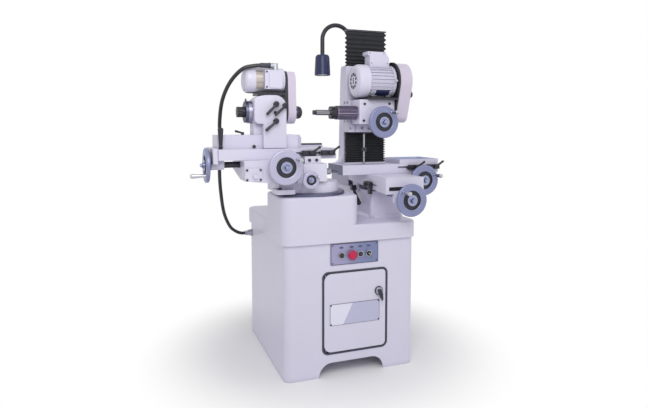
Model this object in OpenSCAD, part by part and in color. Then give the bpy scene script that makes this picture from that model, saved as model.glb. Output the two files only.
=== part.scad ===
// Tool and cutter grinder: cabinet base, swivelling work table on the left,
// column with the grinding head on the right.
// Frame: origin on the floor under the middle of the cabinet, +X right, -Y front, +Z up.

/* [Cabinet] */
// Width of the cabinet
cab_w = 622; // [600:1:660]
// Depth of the cabinet
cab_d = 680; // [660:5:740]
// Height of the cabinet up to the bed casting
cab_h = 600; // [596:1:640]
// Wall thickness of the cabinet
cab_wall = 8; // [5:1:10]
// Radius of the upright corners
cab_r = 35; // [20:1:45]
// Height of the inner floor above the ground
floor_h = 78; // [74:1:86]
// Thickness of the inner floor
floor_t = 12; // [8:1:12]
// Width of the foot arch at the ground
arch_w = 310; // [280:5:340]
// Radius of the foot arch's upper corners
arch_r = 58; // [30:1:60]
// Height of the foot arch
arch_h = 62; // [40:1:62]
// Inset of the floor bolts from the cabinet's sides
anchor_inset = 50; // [45:1:55]
// Diameter of the floor bolt holes
anchor_d = 14; // [10:1:18]

/* [Door] */
// Middle of the door from the middle of the cabinet
door_x = 16; // [0:1:30]
// Width of the door opening
door_w = 316; // [280:1:340]
// Height of the opening's lower edge above the ground
door_z = 100; // [98:1:110]
// Corner radius of the opening
door_r = 28; // [24:1:36]
// Width of the rubber gasket
gasket_w = 8; // [7:0.5:10]
// Gap between the gasket and the door leaf
door_gap = 2; // [1.6:0.1:3]
// Thickness of the door leaf
door_t = 14; // [13:1:18]
// Diameter of the hinge pins
hinge_d = 5; // [4:0.5:6]
// Height of the latch above the door's middle
latch_up = 79; // [40:1:100]
// Length of the latch lever
latch_len = 46; // [35:1:60]

/* [Controls] */
// Width of the control plate
panel_w = 228; // [210:1:260]
// Height of the control plate
panel_h = 94; // [80:1:94]
// Thickness of the control plate
panel_t = 3; // [2:0.5:4]
// Diameter of the push button caps
button_d = 22; // [18:1:24]
// Diameter of the mushroom stop button
mushroom_d = 42; // [30:1:44]
// Diameter of the button stems
stem_d = 16; // [12:0.5:17]
// Travel of the push buttons
button_travel = 4; // [2:0.5:5]

/* [Bed casting] */
// Overhang of the bed beyond the cabinet
bed_over = 11; // [6:1:20]
// Height of the bed's rim
bed_h = 75; // [60:1:90]
// Radius of the bed's upright corners
bed_r = 48; // [30:1:60]
// Radius of the bed's rounded edges
bed_edge = 9; // [4:1:12]
// Width of the raised block on the left
block_w = 355; // [345:1:370]
// Depth of the raised block
block_d = 297; // [280:1:330]
// Height of the raised block above the rim
block_h = 130; // [110:1:150]
// Width of the right pedestal
ped_w = 165; // [150:1:180]
// Depth of the right pedestal
ped_d = 443; // [400:1:460]
// Height of the right pedestal above the rim
ped_h = 125; // [110:1:140]
// Middle of the right pedestal across the machine
ped_x = 232; // [226:1:238]
// Front of the right pedestal behind the machine's middle
ped_y = -213; // [-225:1:-200]

/* [Turntable] */
// Turntable centre across the machine
turn_x = -145; // [-155:1:-140]
// Turntable centre from front to back
turn_y = -190; // [-200:1:-180]
// Diameter of the graduated ring
ring_d = 310; // [290:1:320]
// Height of the graduated ring
ring_h = 13; // [9:1:18]
// Diameter of the turntable's pivot
pivot_d = 50; // [40:1:70]
// Height of the swivel base above the ring
swivel_h = 48; // [44:1:56]
// Diameter of the swivel cone at its top
cone_d = 244; // [230:1:256]

/* [Left slides] */
// Left side of the cross saddle from the turntable's centre
lsad_left = -332; // [-345:1:-320]
// Right side of the cross saddle from the turntable's centre
lsad_right = -80; // [-90:1:-70]
// Front of the cross saddle from the turntable's centre
lsad_front = -145; // [-155:1:-140]
// Rear of the cross saddle from the turntable's centre
lsad_rear = 115; // [105:1:125]
// Height of the cross saddle
lsad_h = 100; // [96:1:112]
// Length of the left table
ltab_len = 515; // [480:1:560]
// Depth of the left table
ltab_d = 190; // [180:1:200]
// Height of the left table
ltab_h = 46; // [42:1:50]
// Left end of the left table from the turntable's centre
ltab_left = -430; // [-440:1:-420]
// Height of the table screw below the table
screw_drop = 21; // [18:1:24]
// Diameter of the table screw
screw_d = 26; // [20:1:28]

/* [Work head] */
// Height of the block under the work head
hbase_h = 58; // [52:1:70]
// Height of the work spindle above that block
work_rise = 98; // [94:1:110]
// Width of the head's front plate
front_w = 101; // [96:1:110]
// Height of the head's arched top above the spindle
front_rise = 71; // [68:1:78]
// Diameter of the spindle barrel
barrel_d = 100; // [90:1:106]
// Diameter of the work spindle
work_d = 40; // [30:1:44]
// Diameter of the work motor
wmotor_d = 113; // [104:1:118]
// Height of the work motor above the work spindle
wmotor_rise = 137; // [134:1:150]
// Half width of the work belt guard
wguard_r = 42; // [40:1:48]

/* [Right slides] */
// Height of the right saddle
rsad_h = 79; // [74:1:90]
// Length of the right table
rtab_len = 515; // [500:1:560]
// Depth of the right table
rtab_d = 189; // [180:1:200]
// Height of the right table
rtab_h = 46; // [40:1:56]
// Left end of the right table across the machine
rtab_left = 10; // [0:1:20]
// Height of the tool tray's rim above the table
tray_h = 22; // [15:1:30]

/* [Column] */
// Width of the column
col_w = 212; // [204:1:230]
// Left side of the column from the table's left end
col_left = 50; // [46:1:60]
// Height of the column casting above the table
col_h = 470; // [460:1:490]
// Height of the slideway above the table
way_h = 635; // [625:1:650]
// Depth of the column at its foot
col_foot_d = 70; // [66:1:90]
// Depth of the column at its top
col_top_d = 45; // [42:1:56]
// Depth of the bellows' folds
pleat_d = 8; // [4:0.5:9]
// Folds in the upper bellows
upper_pleats = 8; // [6:1:16]
// Folds in the lower bellows
lower_pleats = 13; // [8:1:20]
// Diameter of the depth stop rod
rod_d = 10; // [8:0.5:12]
// Diameter of the lamp's flexible neck
neck_d = 20; // [14:1:22]
// Diameter of the lamp head
lamp_d = 76; // [66:1:84]
// Length of the lamp head
lamp_len = 96; // [80:1:105]

/* [Grinding head] */
// Height of the wheel spindle above the right table
wheel_rise = 244; // [240:1:250]
// Height of the spindle housing
house_h = 112; // [108:1:118]
// Diameter of the wheel spindle
spin_d = 30; // [24:1:34]
// Diameter of the quill
quill_d = 64; // [56:1:70]
// Diameter of the wheel arbor
arbor_d = 25; // [20:1:28]
// Length of the wheel arbor beyond its nut
arbor_len = 68; // [60:1:80]
// Diameter of the head motor
hmotor_d = 153; // [144:1:156]
// Height of the head motor above the wheel spindle
hmotor_rise = 146; // [144:1:156]
// Number of cooling fins round the head motor
fin_count = 28; // [16:2:40]
// Radius of the belt guard at the motor
guard_top_r = 88; // [76:1:92]
// Radius of the belt guard at the spindle
guard_low_r = 45; // [42:1:52]

/* [Handwheels] */
// Diameter of the large handwheels
wheel_d = 146; // [130:1:150]
// Diameter of the fine feed handwheel
fine_d = 74; // [64:1:78]
// Thickness of the handwheel rims
rim_t = 16; // [12:1:20]
// Diameter of the handwheel shafts
shaft_d = 18; // [14:1:20]

/* [Hidden] */
$fn = 64;
gap = 0.3;
run_fit = 0.05;
eps = 1;

// Heights of the main levels
z_lip = cab_h + bed_h;
z_block = z_lip + block_h;
z_ring = z_block + ring_h;
z_swivel = z_ring + swivel_h;
z_lsad = z_swivel + lsad_h;
z_ltab = z_lsad + ltab_h;
z_hbase = z_ltab + hbase_h;
work_z = z_hbase + work_rise;
wmotor_z = work_z + wmotor_rise;
z_ped = z_lip + ped_h;
z_rsad = z_ped + rsad_h;
z_rtab = z_rsad + rtab_h;
wheel_z = z_rtab + wheel_rise;
hmotor_z = wheel_z + hmotor_rise;

// Cabinet and door places
front_y = -cab_d / 2;
anchor_x = cab_w - 2 * anchor_inset;
anchor_y = cab_d - 2 * anchor_inset;
panel_over = 6;
panel_under = 28;
door_h = cab_h - door_z - panel_under - panel_h - panel_over;
frame_t = 20;
frame_w = 18;
door_mid_z = door_z + door_h / 2;
leaf_w = door_w - 2 * (gasket_w + door_gap);
leaf_h = door_h - 2 * (gasket_w + door_gap);
leaf_r = door_r + 6;
leaf_front = front_y - 1;
leaf_skin = 3;
leaf_rim = 14;
hinge_x = door_x - leaf_w / 2 + 7;
hinge_y = front_y + 3.5;
hinge_reach = 34;
latch_x = door_x + leaf_w / 2 - 34;
latch_z = door_mid_z + latch_up;
latch_shaft = 12;
cam_len = leaf_w / 2 + door_x + gasket_w + door_gap + 4 - latch_x;
cam_y = front_y + frame_t + 0.5;
panel_x = 11;
panel_z = door_z + door_h + panel_under + panel_h / 2;
button_z = panel_z - 5;
button_x = [panel_x - 64, panel_x - 16, panel_x + 26, panel_x + 66];
bezel_h = 6;
barrel_wall = 4;
switch_len = 40;
gland_y = cab_d / 2 - 45;
gland_z = cab_h - 59;

// Left slides
lsad_x0 = turn_x + lsad_left;
lsad_x1 = turn_x + lsad_right;
lsad_y0 = turn_y + lsad_front;
lsad_y1 = turn_y + lsad_rear;
guide_w = 104;
guide_x = lsad_x1 - guide_w / 2;
way_w = 70;
way_t = 20;
ltab_x0 = turn_x + ltab_left;
ltab_x1 = ltab_x0 + ltab_len;
ltab_y0 = turn_y - 105;
ltab_y1 = ltab_y0 + ltab_d;
table_way_w = 80;
table_way_h = 16;
ltab_mid_y = (ltab_y0 + ltab_y1) / 2;
slot_w = 8;
slot_head = 14;
slot_z = z_ltab - 20;
ledge_h = 8;
ledge_d = 16;
slot_from = ltab_x1 - 205;
screw_y = turn_y - 45;
screw_z = z_lsad - screw_drop;
cross_x = turn_x - 168;
cross_z = z_swivel + 72;
box_x0 = lsad_x1;
box_x1 = turn_x + 29;
box_top = z_swivel + 81;
fine_x = turn_x - 58;
fine_z = z_swivel + 16;
knob_z = z_swivel + 44;

// Work head
hbase_x0 = ltab_x0 + 3;
hbase_x1 = ltab_x0 + 376;
hbase_y0 = ltab_y0 + 45;
hbase_y1 = ltab_y1 - 8;
work_y = turn_y - 10;
front_x = turn_x - 184.5;
front_x1 = front_x + front_w / 2;
front_y0 = hbase_y0 - 20;
barrel_x0 = front_x - 89;
guard_t = 36;
plate_t = 15;
guard_drop = 8;
arch_top = work_z + front_rise;
wguard_x = front_x1 + plate_t;
wmotor_x0 = front_x1 - 174;
wpulley_r = 28;
spulley_r = 33;
lever_len = 58;

// Right slides
rail_w = 112;
rail_h = 40;
tongue_x0 = ped_x - 92;
tongue_x1 = ped_x + 98;
tongue_y0 = ped_y - 172;
tongue_y1 = ped_y + 253;
wing_x1 = tongue_x1 + 125;
wing_y0 = ped_y - 12;
wing_y1 = ped_y + 193;
rtab_x1 = rtab_left + rtab_len;
rtab_y0 = ped_y + 18;
rtab_y1 = rtab_y0 + rtab_d;
rtab_mid_y = (rtab_y0 + rtab_y1) / 2;
rslot_z = z_rtab - 16;
rslot_from = rtab_x1 - 225;
feed_x = ped_x + 9;
feed_z = z_ped - 17;
feed_len = 320;
trav_x = tongue_x1 + 83;
trav_z = z_rsad - 31;
sdog_y = ped_y - 8;
sdog_z = z_ped + 36;
sdog_reach = 44;
slever_y = ped_y + 165;
slever_z = z_ped + 2;
lug_t = 8.5;
lug_reach = 32;

// Column and grinding head
col_x0 = rtab_left + col_left;
col_x1 = col_x0 + col_w;
col_mid = (col_x0 + col_x1) / 2;
col_y0 = rtab_y0 + 107;
dove_w = 112;
dove_t = 12;
dove_y = col_y0 - dove_t;
bellow_y = dove_y - 12;
foot_plate = 7;
cap_t = 6;
head_z0 = wheel_z - 90;
head_z1 = wheel_z + 223;
house_x0 = col_x0 + 15;
house_x1 = col_x0 + 194;
house_y0 = bellow_y - 133;
house_z0 = wheel_z - 52;
wheel_y = bellow_y - 88;
motor_back = wheel_y + hmotor_d / 2 + 5;
srod_x = col_x0 + 79;
srod_y = bellow_y - 38;
clamp_h = 8;
rod_top = z_rtab + 235;
collar_z = z_rtab + 72;
quill_x0 = house_x0 - 100;
nut_len = 27;
hguard_x = house_x1 + 6;
hguard_t = 62;
hmotor_x0 = col_x0 + 2;
fan_len = 58;
motor_box_d = 56;
motor_plate_t = 9;
lift_x = house_x0 + 102;
lift_z = house_z0 + 9;
stem_x = col_x0 + 37.5;
stem_y = col_y0 + 18;
neck_r = 70;
neck_top = z_rtab + 592.5;
lamp_x = stem_x - 2 * neck_r;
lamp_z = neck_top - 73;

// Flexible conduit from the cabinet to the work motor
conduit_d = 17;
conduit_seat = 8;
seat_gap = 0.5;
gland_len = 38;
elbow_len = 22;
elbow_x = front_x1 - 44;
elbow_y = work_y - 52;
elbow_z = wmotor_z + 59;
gland_end = [-cab_w / 2 - gland_len + conduit_seat - seat_gap, gland_y, gland_z];
elbow_end = [elbow_x - elbow_len + conduit_seat - seat_gap, elbow_y, elbow_z];
low_bends = [
    [0, 0, 0], [-12, 0, 0], [-24, 0, 0], [-55, -15, 13], [-96, -52, 51], [-136, -113, 135],
    [-162, -183, 255], [-175, -240, 361], [-184, -320, 503]
];
high_bends = [
    [-197, 167, -230], [-193, 112, -143], [-167, 62, -69], [-125, 12, -18],
    [-76, 3, -3], [-30, 0, 0], [0, 0, 0]
];
conduit_route = concat([for (p = low_bends) gland_end + p], [for (p = high_bends) elbow_end + p]);
conduit_steps = 3;
conduit_sides = 10;

paint = [0.90, 0.89, 0.92];
black = [0.08, 0.08, 0.09];
steel = [0.70, 0.70, 0.74];
lavender = [0.62, 0.63, 0.74];
slate = [0.42, 0.46, 0.58];
red = [0.75, 0.08, 0.10];

// Basic solids

// Box between two corners
module slab(x0, x1, y0, y1, z0, z1) {
    translate([x0, y0, z0]) cube([x1 - x0, y1 - y0, z1 - z0]);
}

// Cylinder along X at a given Y and Z
module rod_x(x0, x1, y, z, d) {
    translate([x0, y, z]) rotate([0, 90, 0]) cylinder(h = x1 - x0, d = d);
}

// Cylinder along Y at a given X and Z
module rod_y(y0, y1, x, z, d) {
    translate([x, y0, z]) rotate([-90, 0, 0]) cylinder(h = y1 - y0, d = d);
}

// Upright cylinder
module rod_z(z0, z1, x, y, d) {
    translate([x, y, z0]) cylinder(h = z1 - z0, d = d);
}

// Rectangle with round corners about the origin
module round_rect(w, h, r) {
    square([w - 2 * r, h], center = true);
    square([w, h - 2 * r], center = true);
    for (sx = [-1, 1], sy = [-1, 1]) translate([sx * (w / 2 - r), sy * (h / 2 - r)]) circle(r);
}

// Plate with round corners that faces the front
module front_plate(x, z, w, h, r, y0, y1) {
    translate([x, y1, z]) rotate([90, 0, 0]) linear_extrude(y1 - y0) round_rect(w, h, r);
}

// Slab with round upright corners
module round_slab(x0, x1, y0, y1, z0, z1, r) {
    translate([(x0 + x1) / 2, (y0 + y1) / 2, z0])
        linear_extrude(z1 - z0) round_rect(x1 - x0, y1 - y0, r);
}

// Slab with round upright corners and a rounded top edge
module soft_slab(x0, x1, y0, y1, z0, z1, r, edge) {
    hull() for (x = [x0 + r, x1 - r], y = [y0 + r, y1 - r]) {
        translate([x, y, z0]) cylinder(h = edge, r = r, $fn = 32);
        translate([x, y, z1 - edge]) rotate_extrude($fn = 32) translate([r - edge, 0]) circle(edge, $fn = 16);
    }
}

// Dovetail outline standing on the origin, narrow at its root
module dovetail(w, h) {
    lean = h * tan(30);
    polygon([[-w / 2 + lean, -eps], [w / 2 - lean, -eps], [w / 2 - lean, 0], [w / 2, h], [-w / 2, h], [-w / 2 + lean, 0]]);
}

// Groove for a dovetail, wider by the running gap on every side
module dovetail_groove(w, h) {
    lean = h * tan(30);
    side = gap / cos(30);
    polygon([
        [-w / 2 + lean - side, -eps], [w / 2 - lean + side, -eps], [w / 2 - lean + side, 0],
        [w / 2 + side, h + gap], [-w / 2 - side, h + gap], [-w / 2 + lean - side, 0]
    ]);
}

// Runs an outline drawn in X and Z along Y
module along_y(y0, y1) {
    translate([0, y1, 0]) rotate([90, 0, 0]) linear_extrude(y1 - y0) children();
}

// Runs an outline drawn in Y and Z along X
module along_x(x0, x1) {
    translate([x0, 0, 0]) rotate([90, 0, 90]) linear_extrude(x1 - x0) children();
}

// Handwheel about Z with its front towards +Z, a shaft behind it and a crank handle
module handwheel(d, shaft_len, handle_at) {
    r = d / 2;
    dish = 0.57 * r;
    hub = 0.33 * r;
    grip = 0.72 * r;
    rotate_extrude() {
        translate([(r + dish) / 2, 0]) round_rect(r - dish, rim_t, 5);
        translate([0, -rim_t / 4]) square([dish + 4, rim_t / 4]);
        translate([0, -rim_t / 2 - 6]) square([hub, rim_t + 8]);
        square([hub * 0.55, rim_t / 2 + 7]);
    }
    translate([0, 0, -shaft_len]) cylinder(h = shaft_len, d = shaft_d);
    rotate([0, 0, handle_at]) translate([(r + dish) / 2, 0, rim_t / 2]) {
        translate([0, 0, -2]) cylinder(h = 8, r = 7.5);
        translate([0, 0, 5]) cylinder(h = grip, r1 = 6, r2 = 10);
        translate([0, 0, 5 + grip]) cylinder(h = 6, r1 = 10, r2 = 6);
    }
}

// Handwheel whose front faces -Y
module wheel_front(x, y, z, d, shaft_len, handle_at) {
    translate([x, y, z]) rotate([90, 0, 0]) handwheel(d, shaft_len, handle_at);
}

// Stop dog in a T-slot of a front edge, with its clamp lever
module stop_dog(x, y, z) {
    slab(x - 30, x + 30, y - gap - 22, y - gap, z - 11, z + 11);
    slab(x - 12, x + 12, y - gap, y + 3.5, z - slot_w / 2 + gap, z + slot_w / 2 - gap);
    rod_y(y - gap - 34, y - gap - 20, x + 6, z + 2, 16);
    translate([x + 6, y - gap - 29, z + 2]) rotate([0, -32, 0]) {
        slab(-6, 44, -4, 4, -4, 4);
        translate([44, 0, 0]) sphere(r = 6);
    }
    slab(x - 40, x - 29, y - gap - 16, y - gap - 4, z - 6, z + 4);
}

// T-slot cut along a front edge
module tee_slot(x0, x1, y, z) {
    slab(x0, x1, y - eps, y + 6, z - slot_w / 2, z + slot_w / 2);
    slab(x0, x1, y + 6, y + 13, z - slot_head / 2, z + slot_head / 2);
}

// Clamp lever on a face that looks to the front
module clamp_lever(x, z, lean) {
    rod_y(front_y0 - 12, front_y0 - gap, x, z, 24);
    rod_y(front_y0 - 27, front_y0 - 11, x, z, 17);
    translate([x, front_y0 - 19, z]) rotate([0, lean, 0]) {
        rotate([0, -90, 0]) cylinder(h = lever_len, r1 = 4.5, r2 = 6.5);
        translate([-lever_len, 0, 0]) sphere(r = 6.5);
    }
}

// Pleated bellows, one ring of points at each fold; the folds widen upwards where widen is over 1
module bellows(z0, z1, pleats, widen) {
    rings = 2 * pleats;
    function ring(i) = let (t = (i % 2) * pleat_d, z = z0 + (z1 - z0) * pow(i / rings, widen)) [
        [col_x0 + t, bellow_y + t, z], [col_x1 - t, bellow_y + t, z],
        [col_x1 - t, dove_y - gap, z], [col_x0 + t, dove_y - gap, z]
    ];
    points = [for (i = [0 : rings]) each ring(i)];
    walls = [for (i = [0 : rings - 1], k = [0 : 3]) each
        let (a = 4 * i + k, b = 4 * i + (k + 1) % 4) [[a, a + 4, b], [b, a + 4, b + 4]]];
    last = 4 * rings;
    polyhedron(points, concat([[0, 1, 2], [0, 2, 3]], walls,
        [[last, last + 2, last + 1], [last, last + 3, last + 2]]));
}

// Swept tube

// Point on a smooth curve through the route, at share t of the stretch after point i
function route_at(p, i, t) = let (
    a = p[max(i - 1, 0)], b = p[i], c = p[i + 1], d = p[min(i + 2, len(p) - 1)]
) 0.5 * (2 * b + (c - a) * t + (2 * a - 5 * b + 4 * c - d) * t * t + (3 * b - a - 3 * c + d) * t * t * t);
function smooth_route(p, steps) = concat(
    [for (i = [0 : len(p) - 2], k = [0 : steps - 1]) route_at(p, i, k / steps)], [p[len(p) - 1]]);
function unit(v) = v / norm(v);
function heading(q, i) = unit(q[min(i + 1, len(q) - 1)] - q[max(i - 1, 0)]);

// Tube of diameter d along the points q
module tube_along(q, d, sides) {
    rings = [for (i = [0 : len(q) - 1])
        let (t = heading(q, i), u = unit(cross(t, [0.3, 1, 0])), v = cross(t, u))
        for (k = [0 : sides - 1]) q[i] + d / 2 * (u * cos(360 * k / sides) + v * sin(360 * k / sides))];
    n = len(q) - 1;
    walls = [for (i = [0 : n - 1], k = [0 : sides - 1]) each
        let (a = i * sides + k, b = i * sides + (k + 1) % sides)
        [[a, b, a + sides], [b, b + sides, a + sides]]];
    first_cap = [for (k = [1 : sides - 2]) [0, k + 1, k]];
    last_cap = [for (k = [1 : sides - 2]) [n * sides, n * sides + k, n * sides + k + 1]];
    polyhedron(rings, concat(first_cap, walls, last_cap));
}

// Base

module cabinet() {
    pad = 84;
    color(paint) difference() {
        union() {
            difference() {
                round_slab(-cab_w / 2, cab_w / 2, -cab_d / 2, cab_d / 2, 0, cab_h, cab_r);
                round_slab(-cab_w / 2 + cab_wall, cab_w / 2 - cab_wall, -cab_d / 2 + cab_wall, cab_d / 2 - cab_wall,
                    floor_h, cab_h - cab_wall, cab_r - cab_wall);
                slab(-cab_w / 2 + cab_wall, cab_w / 2 - cab_wall, -cab_d / 2 + pad, cab_d / 2 - pad,
                    -eps, floor_h - floor_t);
                slab(-cab_w / 2 + pad, cab_w / 2 - pad, -cab_d / 2 + cab_wall, cab_d / 2 - cab_wall,
                    -eps, floor_h - floor_t);
            }
            front_plate(door_x, door_mid_z, door_w + 2 * frame_w, door_h + 2 * frame_w, door_r,
                front_y + cab_wall / 2, front_y + frame_t);
        }
        along_y(-cab_d, cab_d) foot_arch();
        front_plate(door_x, door_mid_z, door_w, door_h, door_r, front_y - eps, front_y + frame_t + eps);
        slab(button_x[0] - 40, button_x[3] + 40, front_y - eps, front_y + cab_wall + eps, button_z - 20, button_z + 20);
        for (z = [door_z - hinge_reach, door_z + door_h - door_r])
            rod_z(z, z + hinge_reach + door_r, hinge_x, hinge_y, hinge_d + 2 * run_fit);
        for (x = [-1, 1], y = [-1, 1])
            rod_z(-eps, floor_h + eps, x * anchor_x / 2, y * anchor_y / 2, anchor_d);
        rod_x(-cab_w / 2 - eps, -cab_w / 2 + cab_wall + eps, gland_y, gland_z, conduit_d + 4);
    }
}

// Outline of the foot arch with rounded upper corners
module foot_arch() {
    translate([-arch_w / 2, -eps]) square([arch_w, arch_h - arch_r + eps]);
    translate([-arch_w / 2 + arch_r, -eps]) square([arch_w - 2 * arch_r, arch_h + eps]);
    for (s = [-1, 1]) translate([s * (arch_w / 2 - arch_r), arch_h - arch_r]) circle(arch_r);
}

module bed_casting() {
    hw = cab_w / 2 + bed_over;
    hd = cab_d / 2 + bed_over;
    wall = 26;
    color(paint) difference() {
        union() {
            soft_slab(-hw, hw, -hd, hd, cab_h, z_lip, bed_r, bed_edge);
            soft_slab(-hw, -hw + block_w, -hd, -hd + block_d, z_lip - bed_edge - 4, z_block, bed_r, bed_edge);
            rod_z(z_block - eps, z_ring + swivel_h - 14, turn_x, turn_y, pivot_d);
            round_slab(ped_x - ped_w / 2, ped_x + ped_w / 2, ped_y, ped_y + ped_d, z_lip - 6, z_ped, 14);
            along_y(ped_y, ped_y + ped_d) translate([ped_x, z_ped]) dovetail(rail_w, rail_h);
            translate([ped_x, ped_y + ped_d / 2, z_lip]) pedestal_skirt();
        }
        slab(-hw + wall, hw - wall, -hd + wall, hd - wall, cab_h - eps, z_lip - wall);
        slab(-hw + wall, -hw + block_w - wall, -hd + wall, -hd + block_d - wall, z_lip - wall - eps, z_block - wall);
        rod_y(ped_y - eps, ped_y + 180, feed_x, feed_z, shaft_d + 2);
    }
}

// Sloped foot that spreads the pedestal on the bed
module pedestal_skirt() {
    s = 12;
    for (a = [0, 180]) rotate([0, 0, a]) {
        along_y(-ped_d / 2 + 14, ped_d / 2 - 14)
            polygon([[ped_w / 2 - eps, -eps], [ped_w / 2 + s, -eps], [ped_w / 2 + s, 0], [ped_w / 2, s], [ped_w / 2 - eps, s]]);
        along_x(-ped_w / 2 + 14, ped_w / 2 - 14)
            polygon([[ped_d / 2 - eps, -eps], [ped_d / 2 + s, -eps], [ped_d / 2 + s, 0], [ped_d / 2, s], [ped_d / 2 - eps, s]]);
    }
}

module door_gasket() {
    color(black) difference() {
        front_plate(door_x, door_mid_z, door_w - 2 * run_fit, door_h - 2 * run_fit, door_r - run_fit,
            front_y - 2, front_y + frame_t - 4);
        front_plate(door_x, door_mid_z, door_w - 2 * gasket_w, door_h - 2 * gasket_w, door_r - gasket_w,
            front_y - 2 - eps, front_y + frame_t);
        for (z = [door_z - eps, door_z + door_h - hinge_reach])
            rod_z(z, z + hinge_reach + eps, hinge_x, hinge_y, hinge_d + 2 * run_fit);
    }
}

module hinge_pins() {
    reach = hinge_reach - 2;
    color(steel) for (s = [0, 1]) {
        z = s ? door_z + door_h - gasket_w - door_gap - reach : door_z - reach;
        rod_z(z, z + 2 * reach + gasket_w + door_gap, hinge_x, hinge_y, hinge_d);
    }
}

module control_panel() {
    color(slate) difference() {
        union() {
            front_plate(panel_x, panel_z, panel_w, panel_h, 3, front_y - panel_t, front_y);
            for (x = button_x) {
                rod_y(front_y - panel_t - bezel_h, front_y - panel_t + eps, x, button_z, button_d + 7);
                rod_y(front_y - eps, front_y + switch_len, x, button_z, stem_d + 2 * barrel_wall);
            }
        }
        for (x = button_x) {
            rod_y(front_y - panel_t - bezel_h - eps, front_y - panel_t, x, button_z, button_d + 1);
            rod_y(front_y - panel_t - eps, front_y + switch_len - 4, x, button_z, stem_d + 2 * run_fit);
        }
    }
}

module electrical_panel() {
    y1 = cab_d / 2 - cab_wall;
    y0 = y1 - 5;
    z0 = door_z + 40;
    board_h = door_h - 72;
    low_rail = z0 + 0.2 * board_h;
    high_rail = z0 + 0.567 * board_h;
    color(steel) {
        slab(-120, 150, y0, y1, z0, z0 + board_h);
        for (z = [low_rail, high_rail]) slab(-100, 130, y0 - 8, y0, z - 17, z + 17);
    }
    color(black) {
        for (i = [0 : 2]) slab(-92 + 58 * i, -92 + 58 * i + 46, y0 - 84, y0 - 8, high_rail - 38, high_rail + 38);
        slab(-92, -2, y0 - 78, y0 - 8, low_rail - 38, low_rail + 38);
        slab(20, 122, y0 - 44, y0 - 8, low_rail - 20, low_rail + 20);
    }
}

module conduit_gland() {
    x0 = -cab_w / 2;
    d = conduit_d;
    color(steel) difference() {
        union() {
            rod_x(x0 - 10, x0, gland_y, gland_z, d + 20);
            translate([x0 - 24, gland_y, gland_z]) rotate([0, 90, 0]) cylinder(h = 15, d = d + 14, $fn = 6);
            rod_x(x0 - gland_len, x0 - 23, gland_y, gland_z, d + 8);
            rod_x(x0 - eps, x0 + cab_wall + 10, gland_y, gland_z, d + 4 - 2 * run_fit);
        }
        rod_x(x0 - gland_len - eps, x0 + cab_wall + 11, gland_y, gland_z, d - 4);
        rod_x(x0 - gland_len - eps, x0 - gland_len + conduit_seat, gland_y, gland_z, d + 2 * gap);
    }
}

module turntable_ring() {
    ticks = 72;
    color(steel) difference() {
        translate([turn_x, turn_y, z_block]) rotate_extrude() difference() {
            translate([pivot_d / 2 + run_fit, 0]) square([ring_d / 2 - pivot_d / 2 - run_fit, ring_h]);
            translate([ring_d / 2, ring_h]) rotate(45) square(5, center = true);
        }
        for (i = [0 : ticks - 1]) translate([turn_x, turn_y, z_block + ring_h / 2]) rotate([0, 0, 360 * i / ticks])
            slab(ring_d / 2 - 0.6, ring_d / 2 + eps, -0.5, 0.5, -1, i % 6 == 0 ? 4 : 2);
    }
}

// Door and controls

module door_panel() {
    back = leaf_front + door_t;
    color(paint) difference() {
        union() {
            difference() {
                front_plate(door_x, door_mid_z, leaf_w, leaf_h, leaf_r, leaf_front, back);
                front_plate(door_x, door_mid_z, leaf_w - 2 * leaf_rim, leaf_h - 2 * leaf_rim, 3,
                    leaf_front + leaf_skin, back + eps);
            }
            rod_y(leaf_front + eps, back, latch_x, latch_z, latch_shaft + 14);
        }
        rod_y(leaf_front - eps, back + eps, latch_x, latch_z, latch_shaft + 2 * run_fit);
        for (z = [door_mid_z - leaf_h / 2 - eps, door_mid_z + leaf_h / 2 - hinge_reach])
            rod_z(z, z + hinge_reach + eps, hinge_x, hinge_y, hinge_d + 2 * run_fit);
    }
}

module door_latch() {
    face = leaf_front - gap;
    color(steel) {
        translate([latch_x, face, latch_z]) rotate([90, 0, 0]) rotate_extrude()
            polygon([[0, 0], [20, 0], [20, 4], [16, 8], [0, 9]]);
        rod_y(face - eps, cam_y + 5, latch_x, latch_z, latch_shaft);
        slab(latch_x - 9, latch_x + 9, cam_y, cam_y + 5, latch_z - cam_len, latch_z + 9);
    }
    color(black) {
        rod_y(face - 16, face - 8, latch_x, latch_z, 15);
        translate([latch_x, 0, latch_z]) along_y(face - 15, face - 8) polygon([
            [-8, 7], [7, 8], [15, -12], [17, -latch_len + 8], [12, -latch_len], [7, -latch_len + 10], [-6, -9]
        ]);
    }
}

// Push button with its stem in the switch barrel
module push_button(x, d, cap) {
    back = front_y - panel_t - button_travel - 0.5;
    rod_y(back - cap, back, x, button_z, d);
    rod_y(back - eps, front_y + switch_len - 4 - button_travel - 4, x, button_z, stem_d);
}

module start_button() {
    color(black) push_button(button_x[0], button_d, 5);
}

module stop_button() {
    back = front_y - panel_t - bezel_h - button_travel - 1;
    color(red) {
        push_button(button_x[1], button_d, 8);
        translate([button_x[1], back, button_z]) rotate([90, 0, 0]) rotate_extrude() {
            square([mushroom_d / 2 - 3, 6]);
            translate([0, 3]) square([mushroom_d / 2, 3]);
            translate([mushroom_d / 2 - 3, 3]) circle(3);
            translate([0, 3]) square([mushroom_d / 2 - 5, 7]);
            translate([mushroom_d / 2 - 7, 6]) circle(4);
        }
    }
}

module aux_button() {
    color(black) push_button(button_x[2], button_d - 3, 4);
}

module selector_knob() {
    back = front_y - panel_t - gap;
    x = button_x[3];
    color(black) {
        rod_y(back - 8, back, x, button_z, button_d);
        rod_y(back - eps, front_y + switch_len - 8, x, button_z, stem_d);
        translate([x, 0, button_z]) rotate([0, 35, 0]) slab(-10, 10, back - 20, back - 7, -3.5, 3.5);
    }
}

// Left unit

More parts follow.
